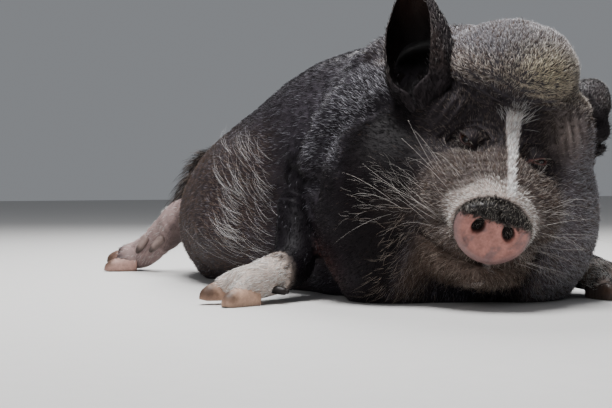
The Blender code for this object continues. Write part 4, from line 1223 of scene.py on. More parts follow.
def make_snout():
    """The snout's disc: a round face with a soft rim, two sunken nostrils, and its sides going back.

    Rings run from the middle of the face out to the rim and back along the side. The height over the
    disc's plane is a shallow dish plus a rim roll, minus a round pit at each nostril.
    """
    centre, out, left, up = snout_frame()
    sides, face, back = 120, 46, 14
    turn = np.linspace(0, 2 * math.pi, sides, endpoint=False)
    reach = np.concatenate([np.linspace(0.02, 1, face), np.linspace(1.0, 0.95, back + 1)[1:]])
    shift = np.concatenate([np.zeros(face), -np.linspace(0, SNOUT_THICK * 1.7, back + 1)[1:]])
    x = reach[:, None] * np.cos(turn) * SNOUT_HALF_WIDTH
    y = reach[:, None] * np.sin(turn) * SNOUT_HALF_HEIGHT * (1 - 0.10 * np.sin(turn))
    edge = 1 - np.clip(reach, 0, 1)
    height = np.where(np.arange(len(reach)) < face, SNOUT_THICK * 0.30 - 0.0035 * np.exp(-(edge / 0.35)**2)
                      + 0.0028 * np.exp(-((edge - 0.16) / 0.09)**2), SNOUT_THICK * 0.30 - 0.0035)[:, None]
    round_edge = -0.0040 * np.exp(-(edge[:face] / 0.05)**2)
    height = np.repeat(height, sides, 1)
    height[:face] += round_edge[:, None]
    height[face:] += -0.0040 + shift[face:, None]
    pit = np.zeros_like(height)
    for side in (-1, 1):
        px, py = x - side * NOSTRIL_OFFSET, y - 0.003
        away = np.sqrt((px * 1.05 + py * side * 0.25)**2 + (py * 0.82)**2)
        pit += 0.020 * soft(away, NOSTRIL_RADIUS * 1.12, NOSTRIL_RADIUS * 0.55)
        pit -= 0.0016 * np.exp(-((away - NOSTRIL_RADIUS * 1.35) / 0.0035)**2)
    height[:face] -= pit[:face]
    fade = np.exp(-(edge[:face, None] / 0.5)**2)
    lines = 0.00045 * np.sin(x[:face] * 900 + 4 * np.sin(y[:face] * 260)) * fade
    height[:face] += lines - 0.0012 * np.exp(-(x[:face] / 0.0022)**2) * soft(y[:face], 0.004, -0.02)
    creases_back = 0.0008 * np.cos(shift[face:] * 2 * math.pi / 0.008)
    x[face:] += np.cos(turn) * creases_back[:, None]
    y[face:] += np.sin(turn) * creases_back[:, None]
    rings = centre + out * height[..., None] + left * x[..., None] + up * y[..., None]
    points, quads, ends = closed_tube(rings)
    mesh = outward(new_mesh("snout_disc", points, quads, ends))
    points = read_points(mesh) - centre
    side, high, front = points @ left, points @ up, points @ out
    edge = np.sqrt((side / SNOUT_HALF_WIDTH)**2 + (high / SNOUT_HALF_HEIGHT)**2)
    tone = filled((0.350, 0.150, 0.122), len(points))
    tone *= (1 + 0.30 * waves(points, 0.018, 31) + 0.18 * waves(points, 0.005, 34))[:, None]
    tone = mixed(tone, (0.120, 0.085, 0.090), soft(waves(points, 0.030, 32), 0.1, 0.7) * 0.6)
    tone = mixed(tone, (0.150, 0.105, 0.105), soft(edge, 0.72, 1.0) * 0.75)
    tone = mixed(tone, TONES["snout_top"], soft(high + 0.003 * waves(points, 0.01, 33), 0.009, 0.017))
    tone = mixed(tone, TONES["snout_top"], soft(front, 0.0, -0.006) * soft(high, -0.03, 0.0))
    # Nostril pits near black: painted shade inside the openings
    pits = np.minimum(*[np.hypot(side - s * NOSTRIL_OFFSET, (high - 0.003) * 0.85) for s in (-1, 1)])
    tone = mixed(tone, (0.010, 0.004, 0.004), soft(pits, NOSTRIL_RADIUS * 1.15, NOSTRIL_RADIUS * 0.7))
    paint(mesh, "tone", np.clip(tone, 0.002, 1))
    return mesh


def make_eye(side):
    """Eyeball: a ball of fine rings, with the dark pupil towards its look and a paler rim."""
    ball = Ball(on_head(sided(EYE_PLACE, side)), (EYE_RADIUS,) * 3, HEAD_AXES)
    mesh = outward(new_mesh("eye", *ball.surface(40, 48)))
    look = unit(np.array(sided(EYE_LOOK, side))) @ HEAD_AXES
    toward = unit(read_points(mesh) - ball.centre) @ look
    tone = np.tile(np.array((0.034, 0.016, 0.009)), (len(toward), 1))
    tone = mixed(tone, np.array((0.004, 0.003, 0.003)), soft(toward, 0.90, 0.93))
    tone = mixed(tone, np.array((0.160, 0.105, 0.090)), soft(toward, 0.66, 0.56))
    paint(mesh, "tone", tone)
    return mesh


def claw_rings(base, heading, length, width, height, lift):
    """Sections of a claw from root to tip: flat below, round above, drawn in to a blunt tip.

    Half width is width/2 sqrt(1 - t^5) and height falls as 1 - 0.42 t^1.4, for t from 0 to 1.
    """
    ahead, across = level_axes(heading)
    along = 1 - (1 - np.linspace(0.0, 0.998, 34))**1.5
    wide = width / 2 * np.sqrt(1 - along**5)
    high = height * (1 - 0.42 * along**1.4) * np.sqrt(1 - along**10)
    angle = np.linspace(0, 2 * math.pi, 40, endpoint=False)
    flat = np.maximum(np.sin(angle), -0.35)
    rise = lift + 0.002 * soft(along, 0.85, 1.0)
    ridge = 1 + 0.018 * np.cos(along * 46) * soft(along, 1.0, 0.6)
    return (np.asarray(base) * (1, 1, 0) + ahead * (along * length)[:, None, None]
            + across * (np.cos(angle)[None, :, None] * (wide * ridge)[:, None, None])
            + np.array([0, 0, 1]) * (((flat[None, :, None] + 0.35) / 1.35 * (high * ridge)[:, None, None])
                                     + rise[:, None, None]))


def make_claws(name, plan):
    """The two claws and two dewclaws of a foot, each as (node name, mesh)."""
    ahead, across = level_axes(plan["heading"])
    end = np.array(plan["stations"][-1][:3])
    made = []
    for label, side, lift in zip("ab", (-1, 1), plan["lift"]):
        start = end - ahead * CLAW_ROOT + across * side * CLAW_APART
        rings = claw_rings(start, plan["heading"] + side * plan["toe_spread"], CLAW_LENGTH + CLAW_ROOT,
                           CLAW_WIDTH, CLAW_HEIGHT * 0.96, lift)
        mesh = outward(new_mesh("claw", *closed_tube(rings)))
        points = read_points(mesh)
        t = (points - start) @ ahead / (CLAW_LENGTH + CLAW_ROOT)
        tone = mixed(filled(CLAW_TONES[name], len(points)), CLAW_TIP_TONE,
                     soft(t + 0.10 * waves(points, 0.02, 41), 0.50, 0.85) * soft(points[:, 2], 0.0, 0.018))
        # Painted shade along the bottom of each claw, next to the floor
        tone = mixed(tone, (0.10, 0.07, 0.05), soft(points[:, 2], 0.006, 0.0) * 0.6)
        paint(mesh, "tone", tone)
        made.append((f"{name}_claw_{label}", mesh))
    large = name == "hindleg_right"
    length, radius = (DEW_LENGTH, DEW_RADIUS * 1.15) if large else (DEW_LENGTH * 0.55, DEW_RADIUS * 0.9)
    # Small dewclaws are near black as painted shade
    base, tip = LARGE_DEW_TONES if large else DEW_TONES
    for label, side, hind_dew in zip("ab", (-1, 1), HIND_DEWS):
        root = end - ahead * DEW_BACK + across * side * DEW_APART
        root[2] = DEW_HEIGHT
        away = math.radians(plan["heading"] + side * DEW_TURN)
        out = np.array((math.cos(away), math.sin(away), -0.15))
        if large:
            root, out = (np.array(row) for row in hind_dew)
        out = unit(out)
        rows = [(*(root - out * 0.006), radius, radius * 0.85),
                (*(root + out * length * 0.6), radius * 0.9, radius * 0.75),
                (*(root + out * length * 0.95), radius * 0.55, radius * 0.45)]
        horn = Chain(rows, np.cross(out, (0, 0, 1)), steps=16)
        mesh = outward(new_mesh("dewclaw", *horn.surface(24)))
        points = read_points(mesh)
        points[:, 2] = np.maximum(points[:, 2], 0.0)
        move_points(mesh, points)
        t = (points - root) @ out / DEW_LENGTH
        paint(mesh, "tone", mixed(filled(base, len(points)), tip, soft(t, 0.4, 0.9)))
        made.append((f"{name}_dewclaw_{label}", mesh))
    return made


def make_tail():
    rows = [(*row[:3], max(row[3] - 0.004, 0.002), max(row[4] - 0.004, 0.002)) for row in TAIL_STATIONS[:-1]]
    rows[0] = (0.010, 0.345, 0.215, 0.020, 0.018)
    tube = Chain(rows, (1, 0, 0), steps=40)
    rings = tube.rings(28)
    rings = rings + 0.0012 * (np.cos(np.arange(len(rings)) * 1.3))[:, None, None] * unit(
        rings - rings.mean(1, keepdims=True))
    mesh = outward(new_mesh("tail", *closed_tube(rings)))
    points = read_points(mesh)
    tone = filled((0.022, 0.016, 0.015), len(points)) * (1 + 0.3 * waves(points, 0.02, 51))[:, None]
    paint(mesh, "tone", np.clip(tone, 0.004, 1))
    return mesh


# The coat

def scatter(mesh, count, weight, seed):
    """count places spread over the mesh by area times weight: places, normals and their own draw."""
    mesh.calc_loop_triangles()
    corners = np.empty(len(mesh.loop_triangles) * 3, np.int32)
    mesh.loop_triangles.foreach_get("vertices", corners)
    corners = corners.reshape(-1, 3)
    points, normals = read_points(mesh), read_normals(mesh)
    a, b, c = (points[corners[:, k]] for k in range(3))
    area = np.linalg.norm(np.cross(b - a, c - a), axis=1) / 2
    total = np.cumsum(area * weight((a + b + c) / 3, unit(normals[corners].mean(1))))
    draw = np.random.default_rng(seed)
    pick = np.searchsorted(total, draw.uniform(0, total[-1], count))
    u, v = np.sqrt(draw.uniform(size=count)), draw.uniform(size=count)
    shares_ = np.stack([1 - u, u * (1 - v), u * v], 1)
    at = (points[corners[pick]] * shares_[..., None]).sum(1)
    out = unit((normals[corners[pick]] * shares_[..., None]).sum(1))
    return at, out, draw


def strands(name, paths, widths, out, root_tone, tip_tone, where, tip_power=1.0):
    """Joined mesh of hairs, each a three-sided closed spike along its path (count, stations, 3).

    The section at a station is a flat triangle, as wide as widths says there, with its ridge outwards.
    Each hair has its patch in the OFBake map at where, two numbers from 0 to 1.
    """
    count, stations, _ = paths.shape
    tangent = unit(np.gradient(paths, axis=1))
    across = unit(np.cross(tangent, out[:, None]))
    ridge = np.cross(across, tangent)
    body = stations - 1
    ring = np.stack([paths - across * widths[..., None], paths + across * widths[..., None],
                     paths + ridge * widths[..., None] * 1.3], 2)[:, :body]
    points = np.concatenate([ring.reshape(count, body * 3, 3), paths[:, -1:]], 1)
    size = body * 3 + 1
    start = (np.arange(count) * size)[:, None, None]
    i, j = np.meshgrid(np.arange(body - 1), np.arange(3), indexing="ij")
    k = (j + 1) % 3
    quads = np.stack([i * 3 + j, i * 3 + k, (i + 1) * 3 + k, (i + 1) * 3 + j], -1).reshape(1, -1, 4)
    last = (body - 1) * 3
    tips = np.array([[last + j, last + (j + 1) % 3, body * 3] for j in range(3)] + [[2, 1, 0]])[None]
    quads_all = (start + quads).reshape(-1, 4)
    tips_all = (start + tips).reshape(-1, 3)
    mesh = new_mesh(name, points.reshape(-1, 3), quads_all, tips_all)
    share = np.concatenate([np.repeat(np.linspace(0, 1, stations)[:body], 3), [1.0]]) ** tip_power
    tone = root_tone[:, None] + (tip_tone - root_tone)[:, None] * share[None, :, None]
    paint(mesh, "hair_tone", np.clip(tone, 0.002, 1).reshape(-1, 3))
    # the patch in the map: along the hair upwards, round it sideways
    layer = mesh.uv_layers.new(name="OFBake")
    side = np.concatenate([np.tile([0.0, 0.5, 1.0], body), [0.5]])
    high = np.concatenate([np.repeat(np.linspace(0, 1, stations)[:body], 3), [1.0]])
    patch = where[:, None] + 0.003 * (np.stack([side, high], -1)[None] - 0.5)
    flat = np.clip(patch, 0.0005, 0.9995).reshape(-1, 2)
    loops = np.concatenate([quads_all.reshape(-1), tips_all.reshape(-1)])
    layer.data.foreach_set("uv", flat[loops].astype(np.float32).ravel())
    return mesh


def round_head(points):
    """Place on an unwrap of the head: longitude and latitude about its middle."""
    local = unit(in_head(points) - (-0.02, 0, 0.0))
    return np.stack([0.5 + np.arctan2(local[:, 1], local[:, 0]) / (2 * math.pi) * 0.96,
                     0.5 + np.arcsin(np.clip(local[:, 2], -1, 1)) / math.pi * 0.96], 1)


def round_trunk(points):
    """Place on an unwrap of the trunk: length along Y and the angle about its middle line."""
    angle = np.arctan2(points[:, 0], points[:, 2] - 0.12)
    along = 0.02 + 0.96 * np.clip((points[:, 1] + 0.50) / 0.95, 0, 1)
    return np.stack([along, 0.5 + angle / (2 * math.pi) * 0.96], 1)


def round_legs(points):
    """Place on an unwrap of the four legs, side by side: length along each and the angle about it."""
    best = np.full(len(points), 9.0)
    where = np.zeros((len(points), 2))
    for i, form in enumerate(leg_forms()[::3]):
        gap = np.linalg.norm(points[:, None] - form.centre[None], axis=2)
        at = gap.argmin(1)
        off = points - form.centre[at]
        angle = np.arctan2((off * form.upward[at]).sum(1), (off * form.across[at]).sum(1))
        along = (at + np.clip((off * form.tangent[at]).sum(1) / 0.02, -0.5, 0.5) + 0.5) / len(form.centre)
        sideways = (i + 0.04 + 0.92 * (0.5 + angle / (2 * math.pi))) / 4
        row = np.stack([sideways, 0.02 + 0.96 * np.clip(along, 0, 1)], 1)
        nearer = gap.min(1) < best
        where[nearer] = row[nearer]
        best = np.minimum(best, gap.min(1))
    return where


def flattened(lie, out):
    """The lies without their part out of the hide."""
    return unit(lie - out * (lie * out).sum(1)[:, None])


def swung(lie, side, turn):
    """The lies turned towards their side, each by its own angle in radians."""
    return unit(lie * np.cos(turn)[:, None] + side * np.sin(turn)[:, None])


def lie_of_coat(points, out, share):
    """The way the coat lies: back along the trunk, outwards and back from the muzzle, down the legs."""
    local = in_head(points)
    f, l, u = local.T
    trunk = np.stack([np.zeros(len(points)), np.ones(len(points)),
                      -0.30 + 0.75 * share["flank"] * soft(points[:, 1], 0.16, 0.02)], 1)
    fan = unit(np.stack([np.zeros(len(points)), l, u + 0.03], 1))
    back = np.interp(f, (-0.1, 0.05, 0.12, 0.19), (1.4, 0.9, 0.75, 0.5))
    head = (fan * 0.8 - np.array((1.0, 0, 0)) * back[:, None]) @ HEAD_AXES
    head[:, 2] -= 0.35 * share["jowl"] + 0.5 * share["chin"]
    lie = mixed(trunk, head, share["head"])
    down = np.zeros_like(lie)
    best = np.full(len(points), 9.0)
    for form in leg_forms()[::3]:
        gap = np.linalg.norm(points[:, None] - form.centre[None], axis=2)
        nearer = gap.min(1) < best
        down[nearer] = form.tangent[gap.argmin(1)][nearer]
        best = np.minimum(best, gap.min(1))
    lie = mixed(lie, down, share["leg"])
    return flattened(lie, out)


# Length, half width, rise, share of pale hairs and jitter of the coat on each marking, and its pale and dark
# colours, in the order in which they are laid on. Jowl, fold, cup, low and the hind foot's shade darken it as
# painted shade; the neck's silver is partly a painted sheen
COAT = {
    "body": (0.0115, 0.00030, 0.15, 0.15, 0.14, "grey", "black"),
    "rump": (0.0125, 0.00030, 0.16, 0.16, 0.20, "grey", "brown"),
    "flank": (0.0120, 0.00027, 0.14, 0.16, 0.20, "grey", "brown"),
    # neck: silver hairs, on the roll partly a painted sheen
    "neck": (0.0095, 0.00027, 0.16, 0.46, 0.18, "silver", "black"),
    # low: darker coat low on the neck, painted shade
    "low": (0.0100, 0.00028, 0.14, 0.24, 0.18, "grey", "black"),
    # jowl: black hair, darkened further as painted shade
    "jowl": (0.0090, 0.00026, 0.07, 0.02, 0.12, "brown", "soot"),
    "cheek": (0.0100, 0.00028, 0.26, 0.74, 0.34, "silver", "brown"),
    "crown": (0.0060, 0.00025, 0.44, 0.62, 0.34, "silver", "brown"),
    "face": (0.0070, 0.00025, 0.26, 0.38, 0.25, "fawn", "black"),
    "lobe": (0.0040, 0.00022, 0.14, 0.62, 0.16, "straw", "brown"),
    "muzzle": (0.0080, 0.00023, 0.30, 0.40, 0.30, "straw", "brown"),
    "chin": (0.0160, 0.00030, 0.36, 0.48, 0.45, "fawn", "brown"),
    "ring": (0.0048, 0.00026, 0.42, 0.78, 0.32, "white", "fawn"),
    "blaze": (0.0095, 0.00034, 0.18, 1.00, 0.12, "white", "silver"),
    "snout_top": (0.0045, 0.00028, 0.70, 0.25, 0.45, "straw", "black"),
    # fold: dark, sparse coat in the creases, painted shade
    "fold": (0.0050, 0.00028, 0.12, 0.02, 0.15, "black", "soot"),
    # cup: dark, sparse coat in the ear's hollow, painted shade
    "cup": (0.0060, 0.00028, 0.30, 0.02, 0.30, "black", "soot"),
    "leg": (0.0080, 0.00030, 0.12, 0.02, 0.12, "grey", "soot"),
    "pink": (0.0120, 0.00016, 0.22, 0.85, 0.20, "white", "black"),
    # darker coat where the hind foot is painted in shade
    "hind_foot_shade": (0.0070, 0.00020, 0.15, 0.15, 0.25, "fawn", "black"),
    "pastern": (0.0115, 0.00026, 0.08, 0.93, 0.10, "white", "fawn"),
    "pale_foot": (0.0085, 0.00030, 0.16, 0.50, 0.20, "white", "black"),
}
SUNLIT_HAIR = (0.74, 0.65, 0.46)
# How much denser the coat is on some markings than elsewhere, thinner where the number is below 0
DENSER = {
    "pink": -0.55, "jowl": -0.35, "flank": -0.25, "crown": 0.5, "blaze": 0.9, "ring": 0.9, "muzzle": 0.6,
    "pastern": 0.7, "snout_top": 0.6, "face": 0.6, "belly": -0.75, "cup": -1.2, "fold": -0.8,
}


def coat_row(name):
    """The coat's five numbers on a marking, and its pale and dark colours."""
    *numbers, pale, dark = COAT[name]
    return np.array(numbers), np.array(HAIRS[pale]), np.array(HAIRS[dark])


def coat_plan(share, count):
    """Length, half width, rise, pale share and jitter at each place, and the pale and dark colours there."""
    values, pale, dark = (filled(row, count) for row in coat_row("body"))
    for name in list(COAT)[1:]:
        row, light, deep = coat_row(name)
        values = mixed(values, row, share[name])
        pale = mixed(pale, light, share[name])
        if name == "crown":
            pale = mixed(pale, np.array(HAIRS["straw"]) * 1.45, share["warm"] * share[name])
            pale = mixed(pale, SUNLIT_HAIR, share["sunlit"] * share[name])
            dark = mixed(dark, HAIRS["brown"], share["warm"] * share[name])
        dark = mixed(dark, deep, share[name])
    values[:, 3] += 0.25 * share["sunlit"] * share["crown"]
    return values, pale, dark


def grow_coat(name, mesh, count, weight, seed, where):
    """A patch of the coat: hairs rooted in the hide, laid along it and bent towards it."""
    def weighed(points, out):
        share = shares(points)
        bare = np.clip(share["snout_top"] * soft(snout_depth(in_head(points)), 0.004, -0.002), 0, 1)
        eyes = soft(slit_reach(points), 1.05, 1.35)
        low = np.maximum(soft(out[:, 2], -0.95, -0.6), soft(points[:, 2], 0.03, 0.05))
        under = soft(points[:, 2], 0.004, 0.012) * low
        thin = sum((gain * share[mark] for mark, gain in DENSER.items()), 1.0)
        clear = weight(points, share) * under * (1 - bare) * eyes
        return clear * np.maximum(thin, 0.1) * (1 - 0.96 * share["cup"])

    at, out, draw = scatter(mesh, count, weighed, seed)
    share = shares(at)
    values, pale, dark = coat_plan(share, count)
    length, half, rise, pale_part, jitter = values.T
    length = length * draw.lognormal(0, 0.22, count) * bpy.context.scene.pig_coat.length
    lie = lie_of_coat(at, out, share)
    side = np.cross(out, lie)
    clump = waves(at, 0.030, seed + 5, 2) * 0.9 * jitter + draw.normal(0, 1, count) * jitter
    lie = swung(lie, side, clump)
    rise = rise * draw.uniform(0.6, 1.5, count)
    t = np.array([0.0, 0.45, 1.0])
    along = length[:, None] * t
    lift = length[:, None] * rise[:, None] * np.array([-0.10, 0.80, 1.0]) \
        + np.array([-0.0008, 0.0, -0.0004])
    sway = length[:, None] * draw.normal(0, 0.10, count)[:, None] * t**2
    paths = at[:, None] + lie[:, None] * along[..., None] + out[:, None] * lift[..., None] \
        + side[:, None] * sway[..., None]
    paths[..., 2] = np.maximum(paths[..., 2], 0.0006)
    widths = half[:, None] * np.array([1.0, 0.85, 0.0]) * bpy.context.scene.pig_coat.thickness
    is_pale = draw.uniform(size=count) < pale_part
    shade = draw.lognormal(0, 0.30, count)[:, None]
    root = np.where(is_pale[:, None], pale * 0.45 + dark * 0.55, dark) * shade
    tip = np.where(is_pale[:, None], pale, dark * 1.3 + 0.002) * shade
    made = strands(name, paths, widths, out, root, tip, where(at), 0.7)
    return placed(name, made, hair_material())


def grow_long(name, roots, out, lie, length, half, tones, draw, droop, where, spread=0.25, bend=0.16,
              stations=8, sweep=0.0):
    """Long single hairs from given roots, each an arc that rises, runs along its lie and bends by droop."""
    count = len(roots)
    side = np.cross(out, lie)
    turn = draw.normal(0, spread, count)
    lie = swung(lie, side, turn)
    t = np.linspace(0, 1, stations)
    bend = draw.normal(sweep, bend, count)[:, None] * t**2
    along = length[:, None] * (t - 0.12 * t**3)
    lift = length[:, None] * (0.34 * t - 0.26 * t**2) * draw.uniform(0.5, 1.6, count)[:, None]
    lift -= 0.0012 * (1 - t)
    paths = roots[:, None] + lie[:, None] * along[..., None] + out[:, None] * lift[..., None] \
        + side[:, None] * (length[:, None] * bend)[..., None]
    paths[..., 2] -= (length[:, None] * t**2) * droop
    paths[..., 2] = np.maximum(paths[..., 2], 0.0008)
    widths = half[:, None] * np.concatenate([np.linspace(1.0, 0.45, stations - 1), [0.0]])
    made = strands(name, paths, widths, out, tones * 0.8, tones, where)
    return placed(name, made, hair_material())


# Where each piece of the short coat grows, and the pieces with their share of a full piece's hairs

def over_face(points, share):
    local = in_head(points)
    return share["head"] * soft(local[:, 0], 0.045, 0.065) * soft(local[:, 2], 0.125, 0.110)


def over_crown(points, share):
    local = in_head(points)
    return share["head"] * soft(local[:, 2], 0.110, 0.125) * soft(local[:, 0], -0.12, -0.06)


def over_jowls(points, share):
    local = in_head(points)
    return share["head"] * (1 - soft(local[:, 0], 0.045, 0.065)) * soft(local[:, 2], 0.125, 0.110)


def over_neck(points, share):
    return (1 - share["head"]) * (1 - share["leg"]) * soft(points[:, 1], -0.16, -0.19)


def over_side(points, share, side):
    """The trunk behind the neck, on its right or left half."""
    trunk = (1 - share["leg"]) * (1 - share["head"]) * soft(points[:, 1], -0.19, -0.16)
    return trunk * soft(points[:, 0], -side * 0.02, side * 0.02)


def over_right(points, share):
    return over_side(points, share, -1) * (1.35 - 0.35 * soft(points[:, 1], 0.25, 0.33))


def over_left(points, share):
    return over_side(points, share, 1)


def over_legs(points, share):
    return share["leg"]


COAT_PIECES = (
    ("coat_face", 1, round_head, over_face),
    ("coat_crown", 1, round_head, over_crown),
    ("coat_jowls", 1, round_head, over_jowls),
    ("coat_neck", 1, round_trunk, over_neck),
    ("coat_right", 1, round_trunk, over_right),
    ("coat_left", 1, round_trunk, over_left),
    ("coat_legs", 13 / 19, round_legs, over_legs),
)


# Sizes and colours a user may change, and the operators

class PigSkinSettings(bpy.types.PropertyGroup):
    voxel: bpy.props.FloatProperty(name="Hide detail", description="Side of the grid that fuses the forms",
                                   default=0.0057, min=0.003, unit="LENGTH")
    roughness: bpy.props.FloatProperty(name="Roughness", description="Roughness of the bare hide",
                                       default=0.55, min=0, max=1, subtype="FACTOR")


class PigCoatSettings(bpy.types.PropertyGroup):
    length: bpy.props.FloatProperty(name="Length", description="Length of the coat against its own",
                                    default=1.0)
    thickness: bpy.props.FloatProperty(name="Thickness", description="Width of each hair against its own",
                                       default=1.0)
    hairs: bpy.props.IntProperty(name="Hairs a piece", description="Hairs in each full piece of the coat",
                                 default=17900, max=19900)


class PigStageSettings(bpy.types.PropertyGroup):
    floor: bpy.props.FloatVectorProperty(name="Floor", description="Colour of the floor", size=3,
                                         subtype="COLOR", default=(0.52, 0.51, 0.50))
    key: bpy.props.FloatProperty(name="Key light", description="Power of the large light overhead",
                                 default=120.0, unit="POWER")


class PIG_OT_hide(bpy.types.Operator):
    """One skin in place of the trunk, neck, head and legs"""
    bl_idname = "pig.hide"
    bl_label = "Hide"

    def execute(self, context):
        mesh = make_hide()
        paint(mesh, "tone", hide_tones(read_points(mesh)))
        placed("hide", mesh, skin_material("pig_hide", "tone", context.scene.pig_skin.roughness, 260.0),
               ("torso", "neck", "head", *LEGS))
        return {"FINISHED"}


class PIG_OT_ears(bpy.types.Operator):
    """The two cupped ears"""
    bl_idname = "pig.ears"
    bl_label = "Ears"

    def execute(self, context):
        for name in EARS:
            skin = skin_material("ear_skin", "tone", 0.6, 300.0, 0.08)
            placed(f"skin_{name}", make_ear(name), skin, (name,))
        return {"FINISHED"}


class PIG_OT_snout(bpy.types.Operator):
    """The disc of the snout with its nostrils"""
    bl_idname = "pig.snout"
    bl_label = "Snout"

    def execute(self, context):
        placed("snout_disc", make_snout(), skin_material("snout_skin_wet", "tone", 0.42, 520.0, 0.35, 0.12),
               ("snout",))
        return {"FINISHED"}


class PIG_OT_eyes(bpy.types.Operator):
    """The two eyes"""
    bl_idname = "pig.eyes"
    bl_label = "Eyes"

    def execute(self, context):
        for name, side in (("eye_right", -1), ("eye_left", 1)):
            placed(f"ball_{name}", make_eye(side), eye_material(), (name,))
        return {"FINISHED"}


class PIG_OT_claws(bpy.types.Operator):
    """The claws and dewclaws of the four feet"""
    bl_idname = "pig.claws"
    bl_label = "Claws"

    def execute(self, context):
        for leg, plan in LEGS.items():
            for name, mesh in make_claws(leg, plan):
                placed(f"horn_{name}", mesh, horn_material(), (name,))
        return {"FINISHED"}


class PIG_OT_tail(bpy.types.Operator):
    """The tail and the tuft at its end"""
    bl_idname = "pig.tail"
    bl_label = "Tail"

    def execute(self, context):
        mesh = make_tail()
        placed("tail_skin", mesh, skin_material("tail_hide", "tone", 0.6, 300.0), ("tail",))
        count = 2600
        at, out, draw = scatter(mesh, count, lambda p, n: 0.45 + soft(p[:, 2], 0.19, 0.13), 61)
        tube = Chain(TAIL_STATIONS, (1, 0, 0), steps=40)
        near = np.linalg.norm(at[:, None] - tube.centre[None], axis=2).argmin(1)
        lie = unit(tube.tangent[near] + out * 0.40 + np.array([-0.15, 0.10, 0.0]))
        length = np.interp(at[:, 2], (0.09, 0.17, 0.21, 0.24), (0.052, 0.046, 0.026, 0.018)) \
            * draw.lognormal(0, 0.2, count)
        tone = np.where(draw.uniform(size=(count, 1)) < 0.22, (0.13, 0.10, 0.085), (0.016, 0.012, 0.011))
        where = np.stack([0.02 + 0.96 * (0.5 + np.arctan2(out[:, 1], out[:, 0]) / (2 * math.pi)),
                          0.02 + 0.96 * np.clip((at[:, 2] - 0.08) / 0.18, 0, 1)], 1)
        grow_long("coat_tail", at, out, lie, length, np.full(count, 0.00042), tone, draw, 0.10, where,
                  stations=5)
        return {"FINISHED"}


class PIG_OT_coat(bpy.types.Operator):
    """The short coat, in pieces over head, neck, trunk and legs"""
    bl_idname = "pig.coat"
    bl_label = "Coat"

    def execute(self, context):
        mesh = bpy.data.objects["hide"].data
        full = context.scene.pig_coat.hairs
        for i, (name, part, where, weight) in enumerate(COAT_PIECES):
            count = int(full * part)
            grow_coat(name, mesh, count, weight, 100 + i, where)
        return {"FINISHED"}


